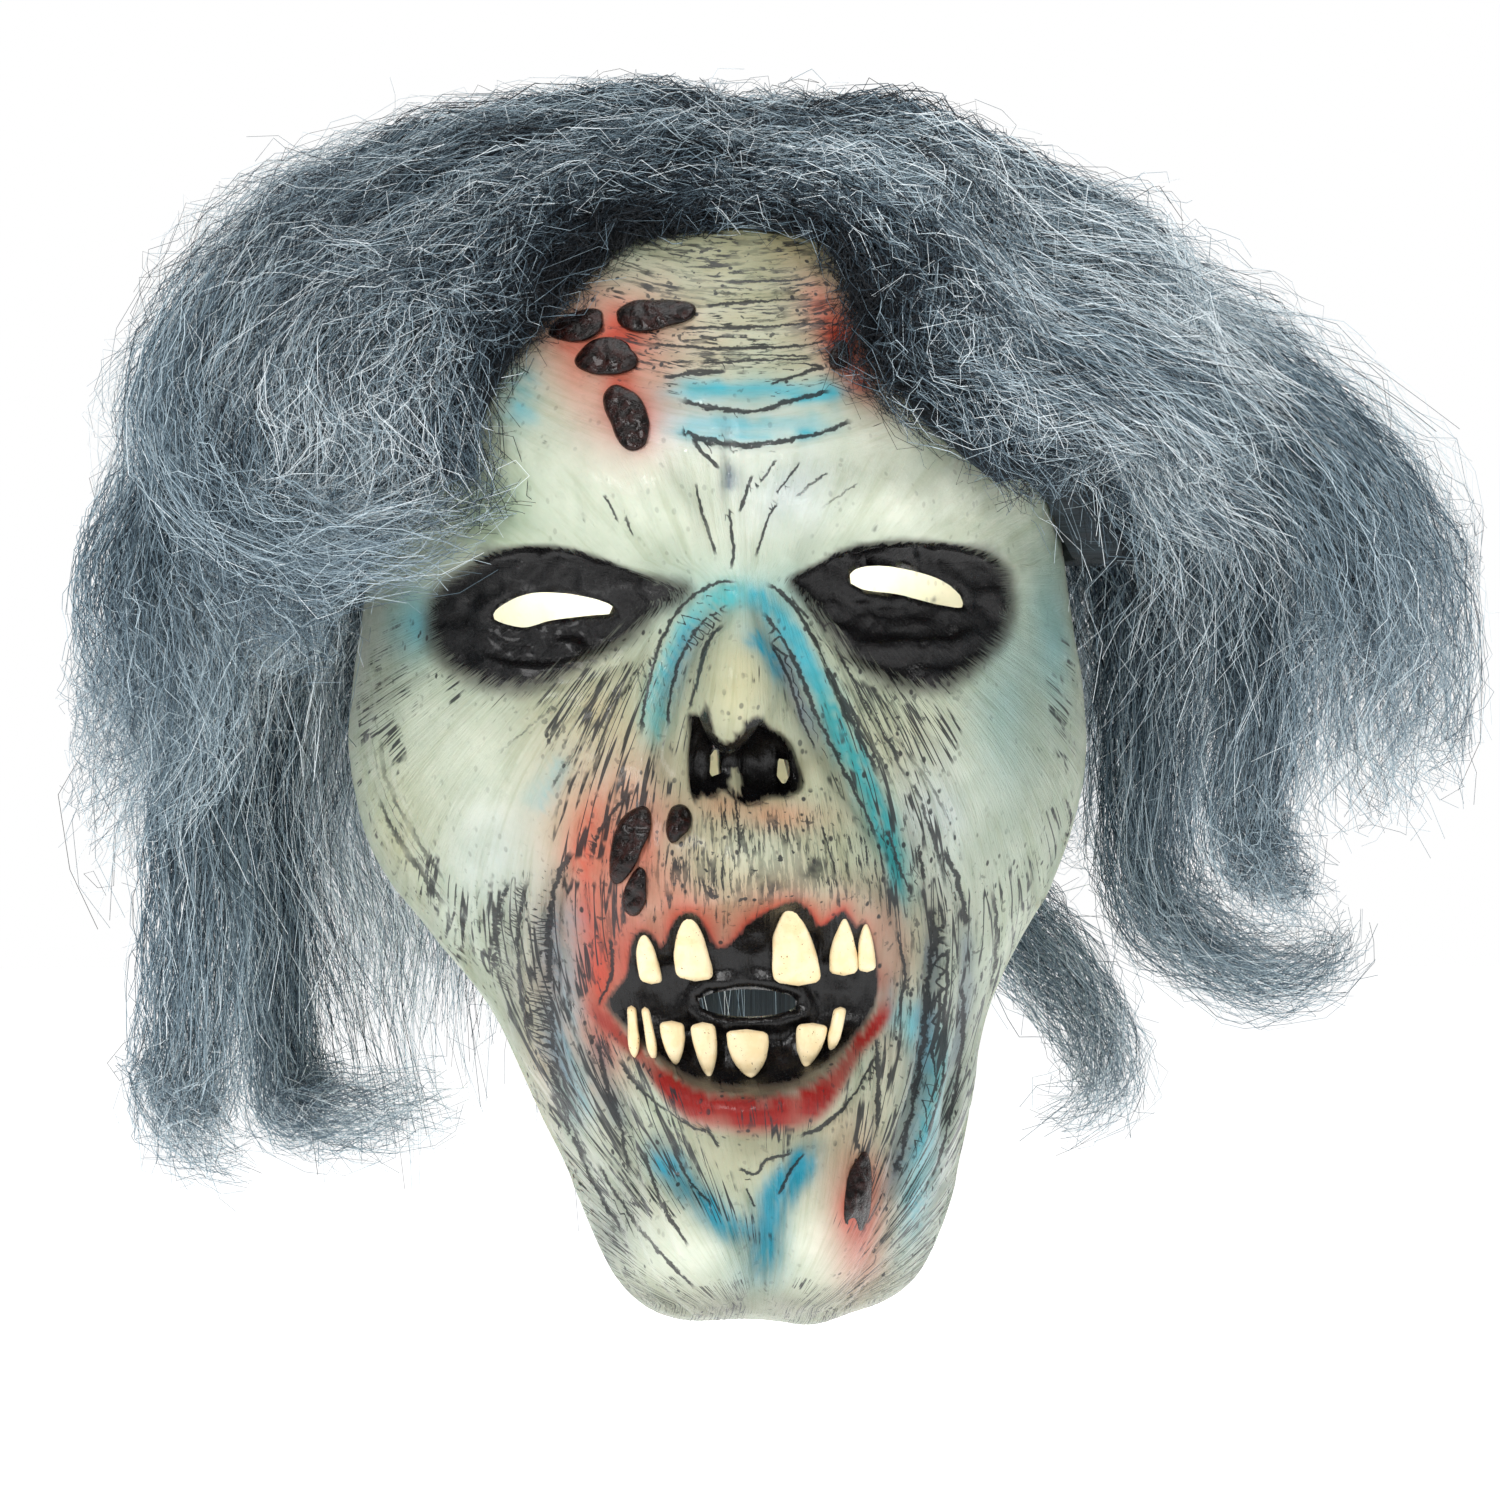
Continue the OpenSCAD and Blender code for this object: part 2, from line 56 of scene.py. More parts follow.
# ---- The head's outline by height, as in the CAD part: [height, value] ----
HALF_W = [(-183, 66), (-165, 53), (-150, 52.5), (-135, 57), (-120, 61), (-105, 66.5), (-88, 77),
          (-75, 86), (-60, 93), (-40, 97), (-20, 96), (0, 93), (25, 90), (112, 88)]
FRONT = [(-183, 98), (-150, 98), (-130, 100), (-100, 102), (-70, 100), (-40, 94), (0, 90),
         (30, 94), (60, 92), (112, 84)]
BACK = [(-183, 60), (-66, 84), (-40, 90), (0, 98), (30, 99), (112, 92)]
SHIFT = [(-183, 10), (-150, 10), (-120, 6.5), (-105, 5), (-80, 1.5), (-60, 0), (112, 0)]
RIM = [(0, -178.5), (40, -177), (60, -170), (72, -150), (80, -120), (86, -100), (92, -85),
       (100, -73), (115, -66), (180, -66)]
# Broad forms: x, z, half width, half height, height, turn, steepness
RELIEF = [
    (-44, -5, 27, 15, -11, 0, 1),
    (43, 0, 27, 15, -11, 0, 1),
    (-34, 27, 27, 9, 7, -28, 1),
    (38, 23, 28, 9, 7, 3, 1),
    (0, 30, 8, 13, -3, 0, 1),
    (-1, -12, 11, 20, 15, 0, 1),
    (0, -27, 9, 8, 6, 0, 1),
    (1, -43, 14, 9, -14, 0, 1),
    (1, -66, 32, 20, 8, 0, 1),
    (1.6, -100, 36, 22, -15, 0, 2),
    (1, -130, 30, 7, 5, 0, 1),
    (-13, -158, 15, 16, 5, 0, 1),
    (22, -155, 15, 18, 6, 0, 1),
    (3, -160, 5, 14, -4, 0, 1),
    (-70, -44, 20, 24, 5, 0, 1),
    (68, -36, 20, 24, 5, 0, 1),
    (-48, -76, 13, 26, -5, 0, 1),
    (50, -80, 13, 26, -5, 0, 1),
]
CROWN_H = 112
CHIN_H = -183
BROW_Z = 20
JAW_Z = -150


def along(keys, p):
    """Smooth curve through [position, value] keys."""
    xs, ys = np.array(keys, float).T
    n = len(xs)
    low = np.maximum(np.arange(n) - 1, 0)
    high = np.minimum(np.arange(n) + 1, n - 1)
    slope = (ys[high] - ys[low]) / (xs[high] - xs[low])
    i = np.clip(np.searchsorted(xs, p, side="left") - 1, 0, n - 2)
    h = xs[i + 1] - xs[i]
    t = np.clip((p - xs[i]) / h, 0, 1)
    return ((2 * t**3 - 3 * t**2 + 1) * ys[i] + (t**3 - 2 * t**2 + t) * slope[i] * h
            + (3 * t**2 - 2 * t**3) * ys[i + 1] + (t**3 - t**2) * slope[i + 1] * h)


def dome(z):
    top = np.sqrt(np.maximum(1 - ((z - BROW_Z) / (CROWN_H - BROW_Z)) ** 2, 0))
    chin = np.sqrt(np.maximum(1 - ((JAW_Z - z) / (JAW_Z - CHIN_H)) ** 2, 0))
    return np.where(z > BROW_Z, top, np.where(z < JAW_Z, chin, 1.0))


def mound(x, z, m):
    dx, dz = x - m[0], z - m[1]
    c, s = math.cos(math.radians(m[5])), math.sin(math.radians(m[5]))
    across, up = (dx * c + dz * s) / m[2], (dz * c - dx * s) / m[3]
    return m[4] * np.exp(-((across**2 + up**2) ** m[6]))


def relief(x, z):
    return sum(mound(x, z, m) for m in RELIEF)


def skin(u, v):
    """Point of the smooth skin at angle u in radians from the face, and share v from crown to rim."""
    turn = np.degrees(np.abs((u + np.pi) % (2 * np.pi) - np.pi))
    edge = along(RIM, turn)
    z = CROWN_H + (edge - CROWN_H) * (0.35 * (1 - np.cos(np.pi * v)) + 0.3 * v)
    x = along(SHIFT, z) + along(HALF_W, z) * dome(z) * np.sin(u)
    c = np.cos(u)
    back = along(BACK, z) * np.where(z > BROW_Z, dome(z), 1.0)
    y = np.where(c > 0, -along(FRONT, z) * dome(z) * c, -back * c)
    return x, y - relief(x, z) * np.sqrt(np.maximum(c, 0)), z


def face_y(x, z):
    """Depth of the smooth skin straight in front of a point of the face."""
    w = np.maximum(along(HALF_W, z) * dome(z), 1e-3)
    c = np.sqrt(np.maximum(1 - ((x - along(SHIFT, z)) / w) ** 2, 0))
    return -along(FRONT, z) * dome(z) * c - relief(x, z) * np.sqrt(c)


# ---- Small tools ----

# Colours of the paint as 0 to 255 display values
COLOURS = {"base": (172, 181, 162), "khaki": (166, 158, 124), "pale": (219, 223, 207),
           "teal": (70, 165, 180), "bright": (35, 150, 175), "blue": (44, 138, 160),
           "red": (188, 60, 36), "pink": (212, 156, 124), "lavender": (186, 196, 208),
           "green": (120, 160, 120), "slate": (96, 112, 128)}


def number(word):
    """A number, or a colour written as three numbers with commas."""
    return tuple(float(c) for c in word.split(",")) if "," in word else float(word)


def table(text, head=0):
    """Rows of numbers and colours. Where head is set, what follows the first few are points x z."""
    rows = []
    for line in text.strip().split("\n"):
        row = [COLOURS.get(w) or number(w) for w in line.split()]
        rows.append(row[:head] + [np.reshape(row[head:], (-1, 2))] if head else row)
    return rows


def outline(text, steps):
    """A smooth closed outline through points given as x z x z."""
    return curve_points(np.reshape([float(w) for w in text.split()], (-1, 2)), steps, True)


def bell(p):
    return np.exp(-(p**2))


def ends(share, rate, least):
    """Level along a stroke, falling to the least one at both ends."""
    return np.minimum(1, rate * np.minimum(share, 1 - share) + least)


def unit(v):
    return v / np.maximum(np.linalg.norm(v, axis=-1, keepdims=True), 1e-9)


def plateau(x, z, px, pz, rx, rz):
    """1 in the middle of an ellipse, with a steep side to 0."""
    return mound(x, z, (px, pz, rx, rz, 1, 0, 2))


NOISE_SIZE = 97


def noise(a, b, seed):
    """Smooth random field from -1 to 1 over two coordinates, one lump per unit."""
    field = np.random.default_rng(seed).random((NOISE_SIZE, NOISE_SIZE)) * 2 - 1
    i, j = np.floor(a).astype(int), np.floor(b).astype(int)
    s, t = a - i, b - j
    s, t = s * s * (3 - 2 * s), t * t * (3 - 2 * t)
    p, q, p1, q1 = i % NOISE_SIZE, j % NOISE_SIZE, (i + 1) % NOISE_SIZE, (j + 1) % NOISE_SIZE
    low = field[p, q] * (1 - s) + field[p1, q] * s
    high = field[p, q1] * (1 - s) + field[p1, q1] * s
    return low * (1 - t) + high * t


def ridged(a, b, seed):
    """Narrow grooves between rounded folds, 0 in a groove and 1 on a fold."""
    return np.sqrt(np.abs(noise(a, b, seed)))


def smooth(p, low, high):
    t = np.clip((p - low) / (high - low), 0, 1)
    return t * t * (3 - 2 * t)


def curve_points(points, steps=6, closed=False):
    """Points of a smooth curve through the given ones."""
    p = np.array(points, float)
    if len(p) < 3:
        return p
    q = np.vstack([p[-1], p, p[0], p[1]] if closed else [2 * p[0] - p[1], p, 2 * p[-1] - p[-2]])
    out = []
    for k in range(1, len(q) - 2):
        for t in np.arange(steps) / steps:
            out.append(0.5 * (2 * q[k] + (q[k + 1] - q[k - 1]) * t
                              + (2 * q[k - 1] - 5 * q[k] + 4 * q[k + 1] - q[k + 2]) * t**2
                              + (3 * q[k] - q[k - 1] - 3 * q[k + 1] + q[k + 2]) * t**3))
    return np.array(out if closed else out + [p[-1]])


def distance(x, z, path):
    """Signed distance from a path of points, the share along it, and the nearest place."""
    best = np.full(x.shape, 1e9)
    side, share = np.ones(x.shape), np.zeros(x.shape)
    near = np.zeros(x.shape + (2,))
    n = len(path) - 1
    for k in range(n):
        a, d = path[k], path[k + 1] - path[k]
        t = np.clip(((x - a[0]) * d[0] + (z - a[1]) * d[1]) / max(d @ d, 1e-9), 0, 1)
        ex, ez = x - a[0] - t * d[0], z - a[1] - t * d[1]
        gap = np.hypot(ex, ez)
        closer = gap < best
        best = np.where(closer, gap, best)
        side = np.where(closer, np.sign(d[0] * ez - d[1] * ex), side)
        share = np.where(closer, (k + t) / n, share)
        spot = np.stack([a[0] + t * d[0], a[1] + t * d[1]], -1)
        near = np.where(closer[..., None], spot, near)
    return best, side, share, near


def ring_distance(x, z, ring):
    """Distance outside a closed outline, negative inside it, and the nearest place on it."""
    path = np.vstack([ring, ring[:1]])
    gap, _, _, near = distance(x, z, path)
    inside = np.zeros(x.shape, bool)
    for a, b in zip(path[:-1], path[1:]):
        crosses = (a[1] > z) != (b[1] > z)
        rise = b[1] - a[1] if b[1] != a[1] else 1e-9
        inside ^= crosses & (x < a[0] + (z - a[1]) / rise * (b[0] - a[0]))
    return np.where(inside, -gap, gap), near


def ellipse(x, z, rx, rz, n=28):
    a = np.arange(n) / n * 2 * np.pi
    return np.stack([x + rx * np.cos(a), z + rz * np.sin(a)], -1)


# ---- Places on the face: x, z ----
LEFT_HOLE = outline("""
-61.5 -5  -58.5 -1.5  -52.5 1  -45 1.2  -38 0  -32 -2  -31 -4  -37.5 -4.6  -47 -5.8  -54 -7.5""", 4)
RIGHT_HOLE = outline("""
28 4  29.5 7  35.5 8  44.5 7  52.5 4.5  57.5 1  58 -2.2  51.5 -1.5  40.5 1  31.5 2""", 4)
LEFT_NOSTRIL = ellipse(-6, -42, 1.9, 3.6)
RIGHT_NOSTRIL = ellipse(11, -43.5, 1.7, 3.4)
SLIT = ellipse(1.8, -101.8, 12.4, 3.4, 40)
HOLES = (LEFT_HOLE, RIGHT_HOLE, LEFT_NOSTRIL, RIGHT_NOSTRIL, SLIT)
LEFT_SOCKET = outline("""
-76.5 -6.5  -74.5 1.5  -68.5 6.5  -58.5 11.6  -46 12.3  -34 8.8  -22 4  -15 1.3  -21.5 -2.8
-27 -7.6  -36 -13.7  -44.5 -18.5  -54 -21.5  -63 -20.5  -72.5 -15""", 3)
RIGHT_SOCKET = outline("""
12.6 4  18.7 7.5  26.8 11.6  39 13.6  51 13.6  63 11.6  69.5 6  70.5 -2  67.5 -10  59 -17  49 -22
38.5 -20.5  29 -14.5  22.5 -6.5  16.5 0""", 3)
NOSE_HOLLOW = outline("""
-13.5 -30  -10.9 -30.3  -10 -28  -9.1 -30.2  -8.4 -33.6  -7.2 -35.7  -5.2 -37.2  -3.8 -37.2
-2.2 -35.5  -0.8 -33.6  0.9 -31.6  1.4 -29.6  3.3 -30.5  5.1 -32.5  7.2 -33.6  9.6 -34.7  12.1 -37.4
13.6 -41.4  15.2 -46.3  13.8 -48.6  10.7 -49.9  7.2 -49.6  5 -50.6  1.3 -52  -1.2 -51  -3.3 -49.5
-4.6 -47.4  -6.7 -49.6  -8.8 -50  -10.4 -49  -12.2 -51  -13 -44.7  -12.8 -37.1  -12.8 -33""", 2)
MOUTH = outline("""
-33 -102.5  -31 -99  -28.2 -95  -27.5 -87.5  -25.3 -83.8  -22.5 -85  -19.6 -89  -17.5 -82  -15 -79.3
-12 -79.5  -9.2 -83.5  -6 -88.5  -2 -86.5  1.5 -82  7 -78.2  12 -76.3  16 -78.7  18.5 -82.6  21 -82
25 -78.8  28.5 -83.2  30.5 -81.8  33 -87.5  34.3 -95  33.4 -103  27.5 -110  21 -116  14 -119.8
4.5 -121.8  -6.5 -121.3  -14.5 -118.8  -22.5 -112.8  -28.7 -107""", 2)

# Creases: groove depth, groove half width, paint strength, points
CREASES = table("""
1.6 1.5 1 -40.5 -61 -45.5 -70.5 -47 -79 -47.5 -89.5 -45.5 -113 -40 -131.5
1.3 1.2 1 -35.5 -109.5 -33 -122.5 -30 -131.5 -26.5 -147.5
1.3 1.2 0.8 -47.5 -123 -40.5 -137.5 -33.5 -152 -26.5 -164
1.2 1.3 1 36 -57.5 42.5 -75
2 1.9 1 47.5 -75 50 -84.5 48.5 -96.5 47 -114.5 42.5 -136 38 -149
1.3 1.2 0.9 51 -62 56.5 -73.5 59 -85
1.2 1.2 0.9 34.5 -109.5 34.5 -122 34 -135
1.2 1 0.8 1 4 -8 2.5 -16 -4 -21 -14 -24 -26 -26 -40
1.2 1 0.8 -3 -2 -9.5 -6 -14.5 -14 -17.5 -24 -19 -36
1 0.9 0.7 -4 -6 -9 -12 -12 -22 -14 -30
1.2 1 0.8 3 4 11 0 18 -10 24 -23 31 -38 38 -52
1.2 1.1 1 3 -3 9 -9 14 -18 18 -28 24 -40 30 -52 35 -64
1 0.9 0.8 6 -10 11 -19 15 -30 19 -40
1 0.9 0.7 14 1 22 -9 29 -22 37 -36 45 -52
1.2 1.4 0.6 -94 -24 -93 -42 -85.5 -60 -77.5 -72 -70 -84
1 1.2 0.5 -90 -30 -88 -46 -80 -62 -72 -74
0.6 0.8 0.9 -17.5 -138 -12.5 -146.5 -7 -152.5
0.6 0.8 0.9 15.5 -138 11 -144.5 8.5 -150
0.9 1 0.9 -31.5 -114 -24.5 -124 -15 -131 -6 -135
0.9 1 0.8 36 -112 28 -124 20 -131.5 12 -135
1 1.1 0.9 -50.5 -97 -47.5 -115 -42.5 -130 -36 -146
1 1.1 0.8 -57 -70 -61 -84 -60.5 -97
1 1.1 0.9 53.5 -83 53 -103 52.5 -121 47.5 -140
0.9 1 0.8 45 -62 46.5 -72
0.7 0.9 0.8 -33 -84 -32 -94 -36 -104
0.7 0.9 0.8 39 -82 41.5 -95 40 -108
0.7 0.8 1 -2 -142.5 3 -144 5.5 -140.5 13 -138.5
0.7 0.8 1 0.5 -147.5 3 -152.5
1.1 1.1 0.7 -52.5 -66 -55 -84 -53.5 -102.5 -50 -118
1 1.1 0.6 -58.5 -76.5 -60 -89.5 -57.5 -103
1.1 1.1 0.8 57 -92 60 -113 56 -133 50 -150.5
1 1.1 0.6 64.5 -69 68 -84.5 68.5 -103.5 66 -122
1 1 0.7 -25.5 -46 -35.5 -58.5 -38 -68.5
0.8 0.9 0.6 41.5 -41 49 -61 53.5 -76.5
0.5 0.7 0.7 -2 -46 -1.5 -66
0.5 0.7 0.7 19 -56 23 -71
0.9 0.9 0.7 -25 -136.5 -20 -151.5 -12 -164.5
0.6 0.7 0.8 -10.5 -130.5 -6 -138
1 1 0.6 -36.5 -140.5 -24 -160 -8 -177
0.6 0.8 1 -4 80 8 80.5 19 81
0.7 0.9 1 -10 73.5 5 75 21.5 76
0.7 0.9 1 -17.5 68 0.5 68 15.5 69 25.5 69.5
0.7 0.9 1 -24 64 -6 62.5 12 63 24 65
0.6 0.8 0.9 -12 58.5 4 59.5 20 60
0.7 0.9 1 -20 55 -11.5 56 -2.5 56.5
0.7 0.9 1 7 53 15 56 23.5 58.5
1.1 1.2 0.9 -18 50 -6.5 47 4 46.5 14.5 49.5 25.5 52.5
1.1 1.2 0.8 -20 42 -6.5 38.5 4 38 20 41 32 46
0.5 0.7 0.8 -6 37 -16 42
0.5 0.7 0.8 -5 31 -13 39
0.5 0.7 0.8 -1 20 3 31
0.6 0.7 0.8 -3 5 -2.5 14 -4 26
0.5 0.7 0.7 -6 8 -10 20 -12 30
0.5 0.7 0.7 3 8 6 18 9 24
0.5 0.7 0.6 -30 17 -35 26
0.5 0.7 0.6 -27 14 -30 22
1.2 1.2 0.5 -3 45 -3.5 35 -3.5 22
0.5 0.7 0.6 3 26 9 35
0.5 0.7 0.6 7 24 15 34
0.5 0.8 0.5 12 24 22 31.5
0.5 0.8 0.4 17 20 30 29
0.6 0.8 0.2 25 19 40.5 27
0.6 0.8 0.2 32.5 18 48.5 24.5
0.6 0.8 0.2 42 17.5 56.5 22.5
0.6 0.8 0.2 51 16.5 65 19.5
0.6 0.9 0.1 -35 31.5 -29 19
0.6 0.9 0.1 -25.5 29 -20.5 14
0.6 0.9 0.1 -42.5 29 -39 16.5
0.6 0.9 0.2 -17 24 -13 9
1.6 1.5 0.5 -67 -13 -55 -16 -42.5 -15 -32.5 -11 -25.5 -5.5
1.4 1.4 0.4 -64.5 -18 -52.5 -21 -37.5 -20 -28 -14.5
1.6 1.5 0.5 20 -3 27.5 -7 40.5 -9 54 -9 62 -6
1.4 1.4 0.4 18.5 -7 27.5 -14 40.5 -17 55 -15.5 64.5 -11
0.7 0.8 0.6 -23 -13.5 -33 -31 -38 -48.5
0.7 0.8 0.5 -25.5 -18.5 -40 -36 -49 -51
0.7 0.8 0.4 -35 -23.5 -50 -38.5
0.7 0.8 0.4 -45 -26 -62.5 -41
0.7 0.8 0.6 22.5 -21 32.5 -36 40 -51
0.7 0.8 0.5 30 -26 45.5 -43.5 56 -61
0.7 0.8 0.4 40.5 -28.5 56 -41
0.7 0.8 0.6 20 -16 27.5 -33.5""", 3)
# Rolls pushed out of the skin, or pressed in where under 0: height, half width, points
ROLLS = table("""
-3 3 -21 -137 -12.8 -148 -4.4 -156 3.5 -160
-3 3 17 -137 10.6 -146 7 -153 5.5 -168
-1.8 2.6 -45.5 -70.5 -47 -79 -47.5 -90 -45.5 -113 -40 -132
-2.2 2.8 47.5 -75 50 -84.5 48.5 -96.5 47 -114.5 42.5 -136 38 -149
-1.6 2.6 -35.5 -109.5 -33 -122.5 -30 -131.5 -26.5 -147.5
-1.6 2.6 58 -80 60 -98 58.5 -118 53 -140
-1.6 2.6 -56 -74 -57.5 -92 -54 -110
1.8 5 -1.5 -8 -2 -18 -2.5 -26 -3.5 -35
-2.4 3 -3 -1 -9 -8 -13.5 -18 -18 -30 -20.5 -42
-2.6 3 3 -2 8 -11 12 -22 18.5 -36 27 -48 34 -60
1.6 3 -11 2 -18 -8 -24 -22 -27 -38
1.6 3 12 1 18 -12 25 -28 34 -44
1.6 2.6 -10 -12 -14.5 -24 -16.5 -36 -15 -47
1.6 2.6 9 -16 13.5 -26 18 -38 18.5 -48
4.2 4.4 -27 -111.5 -16 -124.5 1.5 -129 19 -123.5 30.5 -110.5
1.8 3.2 -30 -88 -22 -76 -8 -75 10 -73 27 -73 37 -84
1.8 4 -9 3 -13 14 -18 26 -26 36
1.8 4 6 4 11 14 18 24 30 31
1.6 3.5 -41 -66 -42 -90 -41 -112 -35 -136
1.6 3.5 42 -64 44 -90 43 -112 38 -134
1.8 3 -52 -70 -51.5 -92 -49.5 -115
1.8 3 54 -75 54 -95 52 -118 47 -142
1.2 2.4 -66 -16 -54 -19 -40 -18 -29 -12
1.2 2.4 19 -5 28 -10.5 41 -13 55 -12 63 -8""", 2)
# How far the rolls are pushed past the heights of their table
FOLD_DEPTH = 1.3


def calm(x, z):
    """1 on the smooth cheeks."""
    return plateau(x, z, -66, -50, 25, 25) + plateau(x, z, 70, -40, 19, 30)


def onion(x, z):
    """Sideways coordinate of the long folds, from the nose bridge past the mouth to the chin."""
    spread = np.sin(np.pi * np.clip((25 - z) / 215, 0.08, 0.95))
    return (x - 0.7 * along(SHIFT, z) - 1) / spread


def deep(x, z):
    """Forms too strong to leave on the outside alone: lids, nose, lips, brows, chin lobes and rolls."""
    h = np.zeros(x.shape)
    for hole in (LEFT_HOLE, RIGHT_HOLE):
        gap = ring_distance(x, z, hole)[0]
        h += 1.6 * bell((gap - 1.6) / 1.7)
    gap = ring_distance(x, z, NOSE_HOLLOW)[0]
    h += -4.6 * smooth(-gap, -0.5, 1.6) + 0.8 * bell((gap - 1.2) / 1.1)
    h += mound(x, z, (-2.4, -23, 9, 12, 4.6, 0, 1.4)) + mound(x, z, (-3.6, -33.5, 4.6, 4.6, 2.0, 0, 1))
    h += mound(x, z, (-1, -46, 2.4, 4.2, 3.4, 0, 1))
    gap = ring_distance(x, z, SLIT)[0]
    h += 2.2 * bell((gap - 2.2) / 2.0)
    for ring in (LEFT_SOCKET, RIGHT_SOCKET):
        gap, spot = ring_distance(x, z, ring)
        brow = smooth(spot[..., 1], 1.5, 6) * smooth(z, -2, 4)
        h += 3.8 * brow * smooth(gap, -0.8, 1.8) * bell(np.maximum(gap, 0) / 8.5)
        h -= 2.2 * brow * smooth(-gap, 0, 2) * bell(np.minimum(gap, 0) / 5)
    h += mound(x, z, (-12, -163, 13, 15, 4.2, 0, 1.6)) + mound(x, z, (19, -160, 10, 19, 4.2, 6, 1.6))
    for height, width, points in ROLLS:
        gap, _, share, _ = distance(x, z, curve_points(points))
        h += FOLD_DEPTH * height * bell(gap / width) * ends(share, 4, 0.25)
    return h


def flow(x, z):
    """Coordinates across and along the brush strokes: long folds below, a fan over the brows."""
    fan_x, fan_z = np.arctan2(x, z + 26) * 52, np.hypot(x, z + 26)
    share = smooth(z, -4, 9)
    return onion(x, z) * (1 - share) + fan_x * share, z * (1 - share) + fan_z * share


def zones(x, z):
    """How much of each wrinkle pattern a place has: long folds, forehead, muzzle, gums."""
    mouth = ring_distance(x, z, MOUTH)[0]
    socket = np.minimum(ring_distance(x, z, LEFT_SOCKET)[0], ring_distance(x, z, RIGHT_SOCKET)[0])
    forehead = smooth(z, 36, 46) * smooth(-np.abs(x - 3), -46, -30)
    muzzle = plateau(x, z, 2, -64, 32, 14)
    lobes = plateau(x, z, -14, -162, 14, 12) + plateau(x, z, 20, -158, 12, 16)
    folds = smooth(-z, -10, 30) * smooth(mouth, 2, 8) * smooth(socket, 0, 8)
    folds *= (1 - 0.8 * muzzle) * (1 - 0.9 * np.minimum(lobes, 1))
    folds *= 1 - 0.9 * calm(x, z)
    gums = smooth(-mouth, 0, 4)
    return folds, forehead, muzzle, gums, mouth, socket


# The outside's own detail may not reach the lining
DEEPEST = -1.3
LINING_INSET = 2.3
# Further in at the nose, the gums and the whole face, and wider at the cut holes
NOSE_INSET, GUM_INSET, FACE_INSET, HOLE_GAP = 2.2, 1.6, 1.1, 1.3
# The front of the chin hangs lower than the CAD part's
CHIN_DROP = 6.0


def fine(x, z, front):
    """Wrinkles and creases, outward in mm. front is 1 on the face and 0 on the back."""
    folds, forehead, muzzle, gums, _, socket = zones(x, z)
    a = onion(x, z)
    side = smooth(np.abs(a), 18, 40)
    h = folds * (0.6 + 0.9 * side) * (ridged(a / 4.3, z / 42, 11) - 0.7)
    h += folds * (0.3 + 0.4 * side) * (ridged(a / 2.1, z / 24 + 9, 12) - 0.7)
    arch = z - 0.006 * x**2
    h += forehead * 0.7 * (ridged(x / 40 + 5, arch / 4.4, 13) - 0.7)
    h += forehead * 0.3 * (ridged(x / 22, arch / 2.2, 14) - 0.7)
    h += muzzle * 0.4 * (ridged(x / 2.4, z / 9, 15) - 0.6)
    h += gums * 1.1 * noise(x / 3.6, z / 3.2, 16)
    pits = smooth(-socket, -1, 3)
    h += pits * (1.3 * noise(x / 7, (z + 0.1 * x) / 2.6, 17) + 1.0 * noise(x / 3.0, z / 2.2, 18))
    hollow = smooth(-ring_distance(x, z, NOSE_HOLLOW)[0], 0, 2)
    h += hollow * 0.9 * noise(x / 2.2, z / 2.8, 22)
    h += 0.10 * noise(x / 2.2, z / 2.2, 19) + 0.35 * noise(x / 11, z / 11, 20)
    for depth, width, _, points in CREASES:
        path = curve_points(points, 4)
        low, high = path.min(0) - 3 * width, path.max(0) + 3 * width
        part = (x > low[0]) & (x < high[0]) & (z > low[1]) & (z < high[1])
        gap, _, share, _ = distance(x[part], z[part], path)
        taper = ends(share, 5, 0.15)
        h[part] -= depth * taper * bell(gap / width)
        h[part] += 0.3 * depth * taper * bell((gap - 2.2 * width) / width)
    return np.maximum(h, DEEPEST) * front


